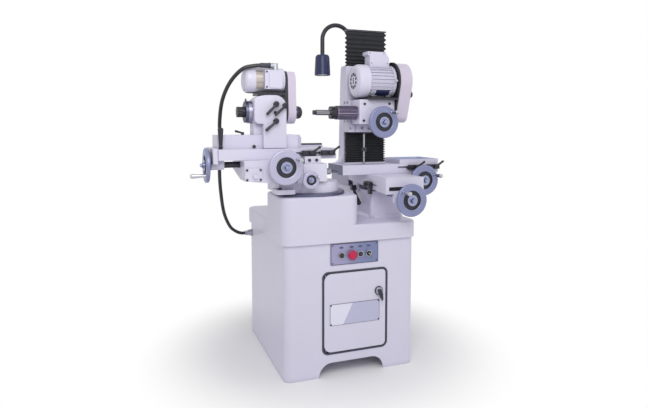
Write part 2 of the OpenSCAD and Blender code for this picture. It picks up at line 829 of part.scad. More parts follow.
module swivel_base() {
    low = z_ring + gap;
    lug_x = lsad_x1 - 89;
    lug_y = turn_y - 112;
    color(paint) difference() {
        union() {
            translate([turn_x, turn_y, low]) cylinder(h = swivel_h - gap - 4, d1 = cone_d + 14, d2 = cone_d);
            slab(guide_x - 42, turn_x, turn_y - 100, turn_y + 100, low, z_swivel);
            round_slab(lug_x - 24, lug_x + 60, lug_y - 22, lug_y + 70, low, low + 20, 12);
            along_y(turn_y - 100, turn_y + 100) translate([guide_x, z_swivel]) dovetail(way_w, way_t);
        }
        rod_z(low - eps, z_swivel - 10, turn_x, turn_y, pivot_d + 2 * run_fit);
    }
    color(black) rod_z(low + 20, low + 28, lug_x - 6, lug_y, 17);
}

module left_saddle() {
    top = z_lsad - gap;
    low = z_swivel + gap;
    cover_x = lsad_x0 + 38;
    cover_z = z_swivel + 42;
    wedge_x = lsad_x1 - guide_w - 11;
    wedge_h = 52;
    color(paint) {
        difference() {
            union() {
                along_y(lsad_y0, lsad_y1) polygon([
                    [lsad_x0, low + 17], [wedge_x, low], [lsad_x1, low], [lsad_x1, top], [lsad_x0, top]
                ]);
                along_x(lsad_x0, lsad_x1) translate([ltab_mid_y, top]) dovetail(table_way_w, table_way_h);
            }
            along_y(lsad_y0 - eps, lsad_y1 + eps) translate([guide_x, low]) dovetail_groove(way_w, way_t - gap);
            along_x(lsad_x0 - eps, wedge_x) polygon([
                [lsad_y0 - eps, low - eps], [lsad_y1 + eps, low - eps], [lsad_y1 + eps, low + wedge_h]
            ]);
            rod_x(lsad_x0 - eps, lsad_x1 - 10, screw_y, screw_z, screw_d + 2);
            rod_y(lsad_y0 - eps, lsad_y0 + 60, cross_x, cross_z, shaft_d + 2 * run_fit);
        }
        front_plate(cover_x, cover_z, 72, 54, 4, lsad_y0 - 5, lsad_y0);
        rod_y(lsad_y0 - 14, lsad_y0 - 5, cover_x + 6, cover_z - 6, 20);
    }
    color(black) for (x = [-28, 28], z = [-20, 20]) rod_y(lsad_y0 - 9, lsad_y0 - 5, cover_x + x, cover_z + z, 9);
}

module left_cross_wheel() {
    color(lavender) wheel_front(cross_x, lsad_y0 - 45, cross_z, wheel_d, 100, 35);
}

module fine_feed_box() {
    low = z_swivel + 5;
    stop_x = box_x0 + 46;
    color(paint) {
        difference() {
            round_slab(box_x0, box_x1, lsad_y0, lsad_y0 + 120, low, box_top, 5);
            rod_y(lsad_y0 - eps, lsad_y0 + 40, fine_x, fine_z, 14 + 2 * run_fit);
            rod_x(box_x1 - 30, box_x1 + eps, lsad_y0 + 35, knob_z, 14 + 2 * run_fit);
        }
        slab(stop_x - 36, stop_x + 36, ltab_y0 - 32, ltab_y0 - 4, box_top, box_top + 32);
    }
    color(black) for (x = [-16, 16]) rod_y(ltab_y0 - 38, ltab_y0 - 32, stop_x + x, box_top + 16, 12);
}

module fine_feed_wheel() {
    r = fine_d / 2;
    wheel_y0 = lsad_y0 - 40;
    color(lavender) {
        translate([fine_x, wheel_y0, fine_z]) rotate([90, 0, 0]) {
            rotate_extrude() {
                translate([r * 0.78, 0]) round_rect(r * 0.44, 12, 4);
                translate([0, -4]) square([r * 0.6, 4]);
                translate([0, -8]) square([11, 16]);
            }
            rotate([0, 0, 30]) translate([r * 0.78, 0, 5]) {
                cylinder(h = 20, r1 = 3.5, r2 = 6);
                translate([0, 0, 20]) sphere(r = 6);
            }
        }
        rod_y(wheel_y0, lsad_y0 + 36, fine_x, fine_z, 14);
    }
}

module fine_feed_knob() {
    color(steel) difference() {
        union() {
            rod_x(box_x1 + gap, box_x1 + 26, lsad_y0 + 35, knob_z, 28);
            rod_x(box_x1 - 26, box_x1 + eps, lsad_y0 + 35, knob_z, 14);
        }
        for (a = [0 : 30 : 330]) translate([0, lsad_y0 + 35, knob_z]) rotate([a, 0, 0])
            rod_x(box_x1 + 6, box_x1 + 27, 15, 0, 4);
    }
}

module left_table() {
    color(paint) difference() {
        slab(ltab_x0, ltab_x1, ltab_y0, ltab_y1, z_lsad, z_ltab);
        along_x(ltab_x0 - eps, ltab_x1 + eps) translate([ltab_mid_y, z_lsad - gap])
            dovetail_groove(table_way_w, table_way_h);
        tee_slot(slot_from, ltab_x1 + eps, ltab_y0, slot_z);
    }
    color(paint) slab(hbase_x1 + gap, ltab_x1, ltab_y1 - ledge_d, ltab_y1, z_ltab - eps, z_ltab + ledge_h);
    color(black) slab(hbase_x1 + 6, ltab_x1 - 3, ltab_y1 - ledge_d + 2, ltab_y1 - 2,
        z_ltab + ledge_h - eps, z_ltab + 2 * ledge_h);
}

module table_end_bracket() {
    boss_d = 2 * (screw_drop - gap);
    x0 = ltab_x0 - 23;
    color(paint) difference() {
        union() {
            round_slab(x0, ltab_x0, ltab_y0, ltab_y1, z_lsad - 14, z_ltab + 4, 6);
            rod_x(x0, ltab_x0 + 30, screw_y, screw_z, boss_d);
            slab(x0, ltab_x0 + 30, screw_y - boss_d / 2, screw_y + boss_d / 2, screw_z, z_lsad);
        }
        rod_x(x0 - eps, ltab_x0 + 31, screw_y, screw_z, shaft_d + 2 * run_fit);
    }
}

module table_wheel() {
    x0 = ltab_x0 - 23;
    color(lavender) translate([x0 - 18, screw_y, screw_z]) rotate([0, -90, 0]) handwheel(wheel_d, 40, -135);
    color(black) {
        rod_x(x0 - 10, ltab_x0 + 31, screw_y, screw_z, shaft_d);
        rod_x(ltab_x0 + 30 + gap, lsad_x1 - 45, screw_y, screw_z, screw_d);
    }
}

module left_dog_a() {
    color(black) stop_dog(slot_from + 75, ltab_y0, slot_z);
}

module left_dog_b() {
    color(black) stop_dog(slot_from + 163, ltab_y0, slot_z);
}

module upright_lever() {
    x = ltab_x0 + 12;
    y = ltab_y0 + 14;
    ball_r = 9;
    z = z_ltab + gap + ball_r;
    stalk = 74;
    color(black) {
        translate([x, y, z]) sphere(r = ball_r);
        rod_y(y - ball_r - 2, y + ball_r + 2, x, z, 9);
        translate([x, y, z]) cylinder(h = stalk, d1 = 14, d2 = 24);
        translate([x, y, z + stalk]) cylinder(h = 6, d1 = 24, d2 = 15);
    }
}

module head_base() {
    bevel = 24;
    color(paint) difference() {
        translate([0, 0, z_ltab]) linear_extrude(hbase_h) polygon([
            [hbase_x0, hbase_y0], [hbase_x1 - bevel, hbase_y0], [hbase_x1, hbase_y0 + bevel],
            [hbase_x1, hbase_y1], [hbase_x0, hbase_y1]
        ]);
        along_y(hbase_y0 - eps, hbase_y1 + eps)
            polygon([[hbase_x1 - 14, z_hbase + eps], [hbase_x1 + eps, z_hbase + eps], [hbase_x1 + eps, z_hbase - 14]]);
    }
    color(black) rod_y(hbase_y0 - 5, hbase_y0, front_x - 88, z_ltab + 9, 14);
}

module work_head() {
    x1 = front_x1;
    plate_low = z_ltab + 2;
    arch_z = arch_top - front_w / 2;
    back = work_y + 62;
    color(paint) difference() {
        union() {
            front_plate(front_x, (plate_low + arch_z) / 2, front_w, arch_z - plate_low, 4, front_y0, hbase_y0);
            rod_y(front_y0, back, front_x, arch_z, front_w);
            slab(front_x - front_w / 2, x1, hbase_y0, back, z_hbase, arch_z);
            rod_x(barrel_x0, x1, work_y, work_z, barrel_d);
            slab(barrel_x0 + 4, x1, work_y - 36, work_y + 40, z_hbase, work_z);
        }
        rod_x(barrel_x0 - eps, x1 + eps, work_y, work_z, work_d + 2 * run_fit);
    }
    color(black) rod_y(front_y0 - 3, front_y0, front_x + 1, work_z - 3, 14);
}

module work_spindle() {
    ring_x = barrel_x0 - 0.5;
    nose_x = wguard_x + guard_t;
    color(steel) {
        rod_x(ring_x - 20, wguard_x + 30, work_y, work_z, work_d);
        difference() {
            rod_x(ring_x - 16, ring_x, work_y, work_z, barrel_d - 2);
            for (a = [0 : 15 : 345]) translate([0, work_y, work_z]) rotate([a, 0, 0])
                rod_x(ring_x - 17, ring_x - 11, barrel_d / 2 - 9, 0, 4);
        }
        rod_x(wguard_x + 8, wguard_x + 30, work_y, work_z, 2 * spulley_r);
        rod_x(wguard_x + 29, nose_x + 14, work_y, work_z, work_d - 6);
    }
    color(black) {
        rod_x(ring_x - 28, ring_x - 16, work_y, work_z, barrel_d - 8);
        rod_z(work_z + barrel_d / 2 - 12, work_z + barrel_d / 2 + 7, ring_x - 22, work_y, 8);
        difference() {
            rod_x(ring_x - 61, ring_x - 28, work_y, work_z, 46);
            for (a = [0 : 45 : 315]) translate([0, work_y, work_z]) rotate([a, 0, 0])
                rod_x(ring_x - 62, ring_x - 40, 25, 0, 10);
        }
        translate([nose_x + 14, work_y, work_z]) rotate([0, 90, 0]) rotate_extrude()
            polygon([[0, 0], [28, 0], [28, 8], [25, 17], [17, 23], [0, 26]]);
    }
}

module clamp_lever_a() {
    color(black) clamp_lever(front_x + 4, work_z + 33, -45);
}

module clamp_lever_b() {
    color(black) clamp_lever(front_x + 44, work_z + 27, -40);
}

module clamp_lever_c() {
    color(black) clamp_lever(front_x + 3, work_z - 39, -40);
}

module base_lever() {
    x = hbase_x0 + 120;
    y = hbase_y0 + 70;
    color(black) {
        rod_z(z_hbase + gap, z_hbase + 12, x, y, 14);
        translate([x, y, z_hbase + 8]) rotate([0, -75, 0]) {
            cylinder(h = 30, d1 = 7, d2 = 10);
            translate([0, 0, 30]) sphere(d = 10);
        }
    }
}

module work_motor() {
    r = wmotor_d / 2;
    x1 = front_x1;
    tbox_y = work_y - r - 12;
    tbox_r = 40;
    tbox_x0 = x1 - 92;
    tbox_x1 = x1 - 14;
    color(paint) {
        difference() {
            union() {
                translate([wmotor_x0, work_y, wmotor_z]) rotate([0, 90, 0]) rotate_extrude()
                    polygon([[0, 0], [r - 20, 0], [r - 9, 4], [r - 2, 13], [r, 24], [r, 74], [r - 2, 76],
                        [r - 2, x1 - wmotor_x0], [0, x1 - wmotor_x0]]);
                along_y(tbox_y, work_y - 20) translate([0, wmotor_z]) polygon([
                    [tbox_x0, -tbox_r], [tbox_x1 - 8, -tbox_r], [tbox_x1, -tbox_r + 8], [tbox_x1, tbox_r - 12],
                    [tbox_x1 - 12, tbox_r], [tbox_x0, tbox_r]
                ]);
            }
            rod_x(x1 - 70, x1 + eps, work_y, wmotor_z, 16 + 2 * run_fit);
        }
    }
    color(black) difference() {
        slab(x1 - 120, x1, work_y - 50, work_y + 50, arch_top, wmotor_z - r + 4);
        rod_x(x1 - 121, x1 + eps, work_y, wmotor_z, wmotor_d);
    }
    color(steel) difference() {
        union() {
            rod_z(wmotor_z + tbox_r - eps, elbow_z + 11, elbow_x, elbow_y, 24);
            rod_x(elbow_x - elbow_len, elbow_x, elbow_y, elbow_z, conduit_d + 6);
        }
        rod_x(elbow_x - elbow_len - eps, elbow_x - elbow_len + conduit_seat, elbow_y, elbow_z, conduit_d + 2 * gap);
    }
}

module work_rotor() {
    color(steel) {
        rod_x(front_x1 - 66, wguard_x + 30, work_y, wmotor_z, 16);
        rod_x(wguard_x + 8, wguard_x + 30, work_y, wmotor_z, 2 * wpulley_r);
    }
}

// Closed belt round two pulleys in the YZ plane
module belt(x0, x1, y, z_a, r_a, z_b, r_b) {
    along_x(x0, x1) difference() {
        hull() {
            translate([y, z_a]) circle(r_a + gap + 5);
            translate([y, z_b]) circle(r_b + gap + 5);
        }
        hull() {
            translate([y, z_a]) circle(r_a + gap);
            translate([y, z_b]) circle(r_b + gap);
        }
    }
}

module work_belt() {
    color(black) belt(wguard_x + 11, wguard_x + 27, work_y, work_z, spulley_r, wmotor_z, wpulley_r);
}

// Cup-shaped belt guard, open towards -X
module guard_shell(x0, t, y, z_a, r_a, z_b, r_b, wall) {
    difference() {
        along_x(x0, x0 + t) hull() {
            translate([y, z_a]) circle(r_a);
            translate([y, z_b]) circle(r_b);
        }
        along_x(x0 - eps, x0 + t - wall) hull() {
            translate([y, z_a]) circle(r_a - wall);
            translate([y, z_b]) circle(r_b - wall);
        }
    }
}

module work_guard() {
    color(paint) difference() {
        guard_shell(wguard_x, guard_t, work_y, work_z, wguard_r + guard_drop, wmotor_z, wguard_r, 3);
        rod_x(wguard_x, wguard_x + guard_t + eps, work_y, work_z, work_d - 2);
    }
    color(black) difference() {
        along_x(front_x1, wguard_x) hull() {
            translate([work_y, work_z]) circle(wguard_r + guard_drop + 2);
            translate([work_y, wmotor_z]) circle(wguard_r + 2);
        }
        rod_x(front_x1 - eps, wguard_x + eps, work_y, work_z, work_d + 6);
        rod_x(front_x1 - eps, wguard_x + eps, work_y, wmotor_z, 24);
    }
}

module conduit() {
    color(black) tube_along(smooth_route(conduit_route, conduit_steps), conduit_d, conduit_sides);
}

// Right unit

module right_saddle() {
    top = z_rsad - gap;
    bracket_z = feed_z - 16;
    color(paint) difference() {
        union() {
            along_x(tongue_x0, tongue_x1) polygon([
                [tongue_y0, z_ped + 6], [tongue_y1, z_ped + 34], [tongue_y1, top], [tongue_y0, top]
            ]);
            round_slab(tongue_x1 - 20, wing_x1, wing_y0, wing_y1, z_ped + 20, top, 8);
            along_x(tongue_x0 + 10, wing_x1 - 5) translate([rtab_mid_y, top]) dovetail(table_way_w, table_way_h);
            slab(feed_x - 60, feed_x + 40, tongue_y0, tongue_y0 + 16, bracket_z, z_ped + 12);
            slab(tongue_x0, tongue_x0 + lug_t, slever_y - 30, slever_y + 30, slever_z - 16, slever_z + lug_reach);
        }
        along_y(tongue_y0 + 16, tongue_y1 + eps) translate([ped_x, z_ped]) dovetail_groove(rail_w, rail_h);
        rod_y(tongue_y0 - eps, tongue_y0 + 17, feed_x, feed_z, shaft_d + 2 * run_fit);
        rod_y(wing_y0 - eps, wing_y0 + 60, trav_x, trav_z, shaft_d + 2 * run_fit);
        slab(tongue_x0 - eps, tongue_x0 + 6, sdog_y - 70, sdog_y + 70, sdog_z - 4, sdog_z + 4);
        slab(tongue_x0 + 16, tongue_x1 - 16, tongue_y0 - eps, tongue_y0 + 10, z_ped + 21, z_ped + 38);
        rod_x(tongue_x0 - eps, tongue_x0 + lug_t + eps, slever_y, slever_z, 12 + 2 * run_fit);
    }
}

module right_cross_wheel() {
    color(lavender) wheel_front(feed_x, tongue_y0 - 50, feed_z, wheel_d, feed_len, 140);
}

module saddle_dog() {
    x = tongue_x0 - gap;
    color(black) {
        slab(x - 20, x, sdog_y - 30, sdog_y + 30, sdog_z - 13, sdog_z + 13);
        slab(x - 14, x, sdog_y - 26, sdog_y - 4, sdog_z - sdog_reach, sdog_z - 12);
        slab(x - eps, x + 5, sdog_y - 14, sdog_y + 14, sdog_z - 4 + gap, sdog_z + 4 - gap);
        rod_x(x - 30, x - 19, sdog_y + 8, sdog_z, 16);
    }
}

module saddle_lever() {
    x = tongue_x0 - gap;
    stalk = 104;
    color(black) {
        rod_x(x - 24, x, slever_y, slever_z, 26);
        rod_x(x - eps, x + lug_t - 1, slever_y, slever_z, 12);
        translate([x - 13, slever_y, slever_z]) rotate([132, 0, 0]) {
            cylinder(h = stalk, r1 = 6, r2 = 11);
            translate([0, 0, stalk]) cylinder(h = 5, r1 = 11, r2 = 7);
        }
    }
}

module right_table_wheel() {
    color(lavender) wheel_front(trav_x, wing_y0 - 25, trav_z, wheel_d, 80, 25);
}

module right_table() {
    tray_x0 = rtab_x1 - 215;
    rim = 6;
    color(paint) difference() {
        union() {
            round_slab(rtab_left, rtab_x1, rtab_y0, rtab_y1, z_rsad, z_rtab, 5);
            round_slab(tray_x0, rtab_x1, rtab_y0, rtab_y1, z_rtab - eps, z_rtab + tray_h, 5);
        }
        round_slab(tray_x0 + rim, rtab_x1 - rim, rtab_y0 + rim, rtab_y1 - rim, z_rtab + 4, z_rtab + tray_h + eps, 4);
        along_x(rtab_left - eps, rtab_x1 + eps) translate([rtab_mid_y, z_rsad - gap])
            dovetail_groove(table_way_w, table_way_h);
        tee_slot(rslot_from, rtab_x1 + eps, rtab_y0, rslot_z);
    }
}

module right_dog_a() {
    color(black) stop_dog(rslot_from + 84, rtab_y0, rslot_z);
}

module right_dog_b() {
    color(black) stop_dog(rslot_from + 188, rtab_y0, rslot_z);
}

module column() {
    top = z_rtab + col_h;
    way_top = z_rtab + way_h;
    foot_y = col_y0 + col_foot_d;
    flare = 36;
    brow = 14;
    color(paint) {
        along_x(col_x0, col_x1) polygon([
            [col_y0, z_rtab], [foot_y, z_rtab], [foot_y - 6, z_rtab + 60],
            [col_y0 + col_top_d, top - 60], [col_y0 + col_top_d - 5, top - brow],
            [col_y0 + col_top_d - brow, top], [col_y0, top]
        ]);
        along_y(col_y0 + 20, foot_y - 12) for (s = [0, 1]) translate([s ? col_x1 : col_x0, z_rtab]) mirror([s, 0])
            difference() {
                translate([-flare, 0]) square([flare + eps, flare]);
                translate([-flare, flare + 3]) circle(flare);
            }
        translate([col_mid, col_y0, z_rtab]) linear_extrude(way_h) mirror([0, 1]) dovetail(dove_w, dove_t);
        slab(col_mid - dove_w / 2 + 8, col_mid + dove_w / 2 - 8, col_y0 - eps, col_y0 + 30, top - eps, way_top);
        slab(col_x0, col_x1, bellow_y, col_y0 + 2, z_rtab, z_rtab + foot_plate);
        slab(col_x0, col_x1, bellow_y, col_y0, way_top, way_top + cap_t);
        slab(col_mid - dove_w / 2, col_mid + dove_w / 2, col_y0 - eps, col_y0 + 32, way_top, way_top + cap_t);
    }
}

module upper_bellows() {
    color(black) bellows(head_z1, z_rtab + way_h, upper_pleats, 1.15);
}

module lower_bellows() {
    color(black) bellows(z_rtab + foot_plate, head_z0, lower_pleats, 1);
}

module stop_rod() {
    color(steel) rod_z(z_rtab, rod_top, srod_x, srod_y, rod_d);
}

module stop_collar() {
    color(black) difference() {
        union() {
            rod_z(collar_z - 9, collar_z + 9, srod_x, srod_y, rod_d + 16);
            rod_y(srod_y - 23, srod_y - 8, srod_x, collar_z, 9);
        }
        rod_z(collar_z - 10, collar_z + 10, srod_x, srod_y, rod_d + 2 * run_fit);
    }
}

module lamp() {
    low = z_rtab + col_h;
    color(black) {
        rod_z(low, low + 14, stem_x, stem_y, neck_d + 8);
        rod_z(low, neck_top, stem_x, stem_y, neck_d);
        translate([stem_x - neck_r, stem_y, neck_top]) rotate([90, 0, 0]) rotate_extrude(angle = 180)
            translate([neck_r, 0]) circle(d = neck_d);
        rod_z(lamp_z - 2, neck_top, lamp_x, stem_y, neck_d);
        translate([lamp_x, stem_y, lamp_z]) rotate([180, 0, 0]) rotate_extrude() difference() {
            polygon([[0, 0], [lamp_d / 2 - 11, 0], [lamp_d / 2 - 6, 6], [lamp_d / 2 - 4, 14], [lamp_d / 2, lamp_len], [0, lamp_len]]);
            translate([0, lamp_len - 6]) square([lamp_d / 2 - 4, 7]);
        }
    }
}

module wheel_head() {
    back = col_y0 - gap;
    carriage_y0 = house_y0 + 95;
    color(paint) difference() {
        union() {
            slab(col_x0, col_x1, carriage_y0, back, head_z0, house_z0);
            slab(col_x0, house_x1, carriage_y0, back, house_z0 - eps, house_z0 + house_h);
            slab(col_x0, house_x1, motor_back, back, house_z0 + house_h - eps, head_z1);
            round_slab(house_x0, house_x1, house_y0, carriage_y0 + eps, house_z0, house_z0 + house_h, 5);
            slab(srod_x - 45, srod_x + 45, srod_y - 16, carriage_y0 + eps, head_z0, house_z0 + eps);
            rod_y(house_y0 - 14, house_y0 + 60, lift_x, lift_z, shaft_d + 26);
        }
        translate([col_mid, back, head_z0 - eps]) linear_extrude(head_z1 - head_z0 + 2 * eps) mirror([0, 1])
            dovetail_groove(dove_w, dove_t - gap);
        rod_x(house_x0 - eps, house_x1 + eps, wheel_y, wheel_z, spin_d + 2 * run_fit);
        rod_z(head_z0 - eps, house_z0 + house_h + eps, srod_x, srod_y, rod_d + 2);
        rod_y(house_y0 - 15, house_y0 + 40, lift_x, lift_z, shaft_d + 2 * run_fit);
    }
    color(black) {
        for (p = [[24, 92], [150, 94], [20, 16]])
            rod_y(house_y0 - 4, house_y0, house_x0 + p[0], house_z0 + p[1], 11);
        difference() {
            slab(srod_x - 15, srod_x + 15, srod_y - 18, srod_y + 14, head_z0 - clamp_h, head_z0 + eps);
            rod_z(head_z0 - clamp_h - eps, head_z0 + 2 * eps, srod_x, srod_y, rod_d + 2);
        }
    }
}

module quill() {
    ribs = 24;
    color(steel) difference() {
        rod_x(quill_x0, house_x0, wheel_y, wheel_z, quill_d);
        rod_x(quill_x0 - eps, house_x0 + eps, wheel_y, wheel_z, spin_d + 2 * run_fit);
        for (i = [0 : ribs - 1]) translate([0, wheel_y, wheel_z]) rotate([360 * i / ribs, 0, 0])
            slab(quill_x0 + 8, house_x0 - 6, -1.5, 1.5, quill_d / 2 - 1.5, quill_d / 2 + eps);
    }
}

module wheel_spindle() {
    nut_x = quill_x0 - 1 - nut_len;
    color(steel) {
        rod_x(nut_x, hguard_x + 50, wheel_y, wheel_z, spin_d);
        rod_x(hguard_x + 14, hguard_x + 46, wheel_y, wheel_z, 60);
        rod_x(nut_x - arbor_len, nut_x, wheel_y, wheel_z, arbor_d);
    }
    color(black) rod_x(nut_x - arbor_len - 14, nut_x - arbor_len + eps, wheel_y, wheel_z, arbor_d - 4);
    color(black) difference() {
        rod_x(nut_x, quill_x0 - 1, wheel_y, wheel_z, quill_d - 6);
        for (a = [0 : 60 : 300]) translate([0, wheel_y, wheel_z]) rotate([a, 0, 0])
            slab(nut_x - eps, nut_x + 16, -4, 4, quill_d / 2 - 7, quill_d / 2);
    }
}

module head_wheel() {
    color(lavender) wheel_front(lift_x, house_y0 - 40, lift_z, wheel_d, 76, 50);
}

module head_motor() {
    r = hmotor_d / 2;
    body = r - 8;
    x1 = house_x1;
    motor_len = x1 - hmotor_x0;
    shield = motor_len - 16;
    fan_x = hmotor_x0 + fan_len;
    tbox_x0 = fan_x + 12;
    tbox_x1 = fan_x + 111;
    tbox_z0 = hmotor_z + body - 12;
    tbox_z1 = hmotor_z + r + 58;
    plate_z = house_z0 + house_h;
    color(paint) difference() {
        union() {
            translate([hmotor_x0, wheel_y, hmotor_z]) rotate([0, 90, 0]) rotate_extrude()
                polygon([[0, 0], [r - 22, 0], [r - 8, 5], [r - 2, 13], [r, 24], [r, fan_len], [body, fan_len + 2],
                    [body, shield - 2], [r - 2, shield], [r - 2, motor_len - 6], [r - 12, motor_len], [0, motor_len]]);
            for (i = [0 : fin_count - 1]) translate([0, wheel_y, hmotor_z]) rotate([360 * (i + 0.5) / fin_count, 0, 0])
                slab(fan_x - eps, hmotor_x0 + shield + eps, -1.6, 1.6, body - 2, r - 1);
            along_y(wheel_y - motor_box_d / 2, wheel_y + motor_box_d / 2) polygon([
                [tbox_x0, tbox_z0], [tbox_x1, tbox_z0], [tbox_x1, tbox_z1 - 28], [tbox_x1 - 20, tbox_z1],
                [tbox_x0 - 11, tbox_z1], [tbox_x0 - 11, tbox_z1 - 14], [tbox_x0, tbox_z1 - 20]
            ]);
        }
        rod_x(x1 - 70, x1 + eps, wheel_y, hmotor_z, 20 + 2 * run_fit);
        for (i = [0 : 9]) translate([hmotor_x0, wheel_y, hmotor_z]) rotate([36 * i, 0, 0])
            slab(-eps, 8, -5.5, 5.5, 25, 32);
        translate([hmotor_x0, wheel_y, hmotor_z]) slab(-eps, 8, -2, 2, -13, 13);
    }
    color(black) {
        slab(fan_x - 6, x1, wheel_y - 72, motor_back, plate_z, plate_z + motor_plate_t);
        for (x = [fan_x + 16, fan_x + 90]) slab(x, x + 26, wheel_y - 38, wheel_y + 38,
            plate_z + motor_plate_t - eps, hmotor_z - body / 2);
    }
}

module head_rotor() {
    color(steel) {
        rod_x(house_x1 - 66, hguard_x + 50, wheel_y, hmotor_z, 20);
        rod_x(hguard_x + 14, hguard_x + 46, wheel_y, hmotor_z, 84);
    }
}

module head_belt() {
    color(black) belt(hguard_x + 18, hguard_x + 42, wheel_y, wheel_z, 30, hmotor_z, 42);
}

module head_guard() {
    cap_z = wheel_z + 88;
    color(paint) guard_shell(hguard_x, hguard_t, wheel_y, wheel_z, guard_low_r, hmotor_z, guard_top_r, 3);
    color(black) {
        difference() {
            along_x(house_x1, hguard_x) hull() {
                translate([wheel_y, wheel_z]) circle(guard_low_r + 4);
                translate([wheel_y, hmotor_z]) circle(guard_top_r + 4);
            }
            rod_x(house_x1 - eps, hguard_x + eps, wheel_y, wheel_z, spin_d + 6);
            rod_x(house_x1 - eps, hguard_x + eps, wheel_y, hmotor_z, 30);
        }
        rod_x(hguard_x + hguard_t, hguard_x + hguard_t + 14, wheel_y - 20, cap_z, 16);
    }
}

cabinet();
bed_casting();
door_gasket();
hinge_pins();
control_panel();
electrical_panel();
conduit_gland();
turntable_ring();
door_panel();
door_latch();
start_button();
stop_button();
aux_button();
selector_knob();
swivel_base();
left_saddle();
left_cross_wheel();
fine_feed_box();
fine_feed_wheel();
fine_feed_knob();
left_table();
table_end_bracket();
table_wheel();
left_dog_a();
left_dog_b();
upright_lever();
head_base();
work_head();
work_spindle();
clamp_lever_a();
clamp_lever_b();
clamp_lever_c();
base_lever();
work_motor();
work_rotor();
work_belt();
work_guard();
conduit();
right_saddle();
right_cross_wheel();
saddle_dog();
saddle_lever();
right_table_wheel();
right_table();
right_dog_a();
right_dog_b();
column();
upper_bellows();
lower_bellows();
stop_rod();
stop_collar();
lamp();
wheel_head();
quill();
wheel_spindle();
head_wheel();
head_motor();
head_rotor();
head_belt();
head_guard();
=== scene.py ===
"""Finishes, bellows, conduit and small fittings of a tool and cutter grinder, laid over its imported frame."""
import math
from typing import NamedTuple

import bmesh
import bpy
from mathutils import Matrix, Vector


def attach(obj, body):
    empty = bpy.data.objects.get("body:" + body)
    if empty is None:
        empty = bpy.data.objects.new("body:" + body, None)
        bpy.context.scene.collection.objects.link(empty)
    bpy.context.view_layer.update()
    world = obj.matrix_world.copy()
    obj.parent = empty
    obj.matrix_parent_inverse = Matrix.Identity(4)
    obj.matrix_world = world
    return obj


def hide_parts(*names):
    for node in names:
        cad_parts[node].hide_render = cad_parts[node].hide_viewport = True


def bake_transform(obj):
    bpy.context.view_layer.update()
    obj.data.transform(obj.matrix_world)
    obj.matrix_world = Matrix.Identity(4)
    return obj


bl_info = {
    "name": "Tool and Cutter Grinder",
    "version": (1, 0, 0),
    "blender": (4, 5, 0),
    "location": "3D View > Sidebar > Grinder",
    "description": "Dresses a tool and cutter grinder with its finishes, bellows, conduit and fittings",
    "category": "Object",
}

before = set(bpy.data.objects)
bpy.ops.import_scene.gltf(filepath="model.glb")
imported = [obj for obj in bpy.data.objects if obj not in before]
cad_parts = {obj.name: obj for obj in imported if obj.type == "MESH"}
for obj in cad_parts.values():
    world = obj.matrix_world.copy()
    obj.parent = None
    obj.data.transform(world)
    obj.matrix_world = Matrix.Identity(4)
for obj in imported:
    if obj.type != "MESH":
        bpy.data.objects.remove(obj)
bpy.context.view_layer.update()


# Sizes and colours that a user would change

class GrinderSizes(bpy.types.PropertyGroup):
    """Sizes of the pieces that are added to the frame."""
    conduit_diameter: bpy.props.FloatProperty(
        name="Conduit diameter", description="Outside diameter of the flexible conduit",
        default=0.017, min=0.008, max=0.03, unit="LENGTH")
    pleat_depth: bpy.props.FloatProperty(
        name="Pleat depth", description="Depth of the folds in the column bellows",
        default=0.008, min=0.002, max=0.009, unit="LENGTH")
    upper_pleats: bpy.props.IntProperty(
        name="Upper pleats", description="Folds in the bellows above the grinding head",
        default=9, min=4, max=24)
    lower_pleats: bpy.props.IntProperty(
        name="Lower pleats", description="Folds in the bellows below the grinding head",
        default=13, min=6, max=24)
    plate_thickness: bpy.props.FloatProperty(
        name="Plate thickness", description="Thickness of the blank plates",
        default=0.0015, min=0.0005, max=0.004, unit="LENGTH")


class GrinderFinishes(bpy.types.PropertyGroup):
    """Main colours of the machine."""
    paint: bpy.props.FloatVectorProperty(
        name="Paint", description="Enamel on the castings and sheet metal", subtype="COLOR",
        default=(0.755, 0.73, 0.885), min=0, max=1)
    rim_light: bpy.props.FloatVectorProperty(
        name="Pale rims", description="Satin lavender of the left cross and fine feed handwheels", subtype="COLOR",
        default=(0.54, 0.52, 0.70), min=0, max=1)
    rim_slate: bpy.props.FloatVectorProperty(
        name="Slate rims", description="Satin slate blue of the other handwheels", subtype="COLOR",
        default=(0.275, 0.295, 0.49), min=0, max=1)
    panel: bpy.props.FloatVectorProperty(
        name="Control plate", description="Blue grey of the control plate", subtype="COLOR",
        default=(0.225, 0.26, 0.46), min=0, max=1)
    stop: bpy.props.FloatVectorProperty(
        name="Stop button", description="Red of the stop button", subtype="COLOR",
        default=(0.62, 0.008, 0.085), min=0, max=1)


class GrinderStage(bpy.types.PropertyGroup):
    """Light and floor."""
    key_power: bpy.props.FloatProperty(
        name="Key light", description="Power of the large lamp at the front",
        default=19, min=0, unit="POWER")
    fill_power: bpy.props.FloatProperty(
        name="Fill light", description="Power of the lamp at the right",
        default=10.5, min=0, unit="POWER")
    sky: bpy.props.FloatProperty(
        name="Surround", description="Strength of the even light all round", default=0.54, min=0, max=1)
    floor: bpy.props.FloatVectorProperty(
        name="Floor", description="Colour of the floor", subtype="COLOR",
        default=(0.93, 0.93, 0.94), min=0, max=1)


# Materials

# Edge colour, partly wear and partly a painted highlight: their radius, the cosines of turn between which they
# show, and their patches a metre
EDGE_RADIUS = 0.0014
EDGE_TURN = (0.97, 0.78)
WEAR_AND_HIGHLIGHT_PATCH = 70.0
# Noise between which a finish with painted reflection streaks goes from one colour to the other
REFLECTION_STREAK = (0.36, 0.62)
# Painted shade in corners, creases and between parts, from ambient occlusion: its reach, the openness between
# which it fades, and the light it leaves
CORNER_SHADE_REACH = 0.03
CORNER_SHADE_OPEN = (0.25, 0.85)
CORNER_SHADE_LEVEL = 0.72
BUMP_STRENGTH = 0.6
BUMP_DEPTH = 0.001


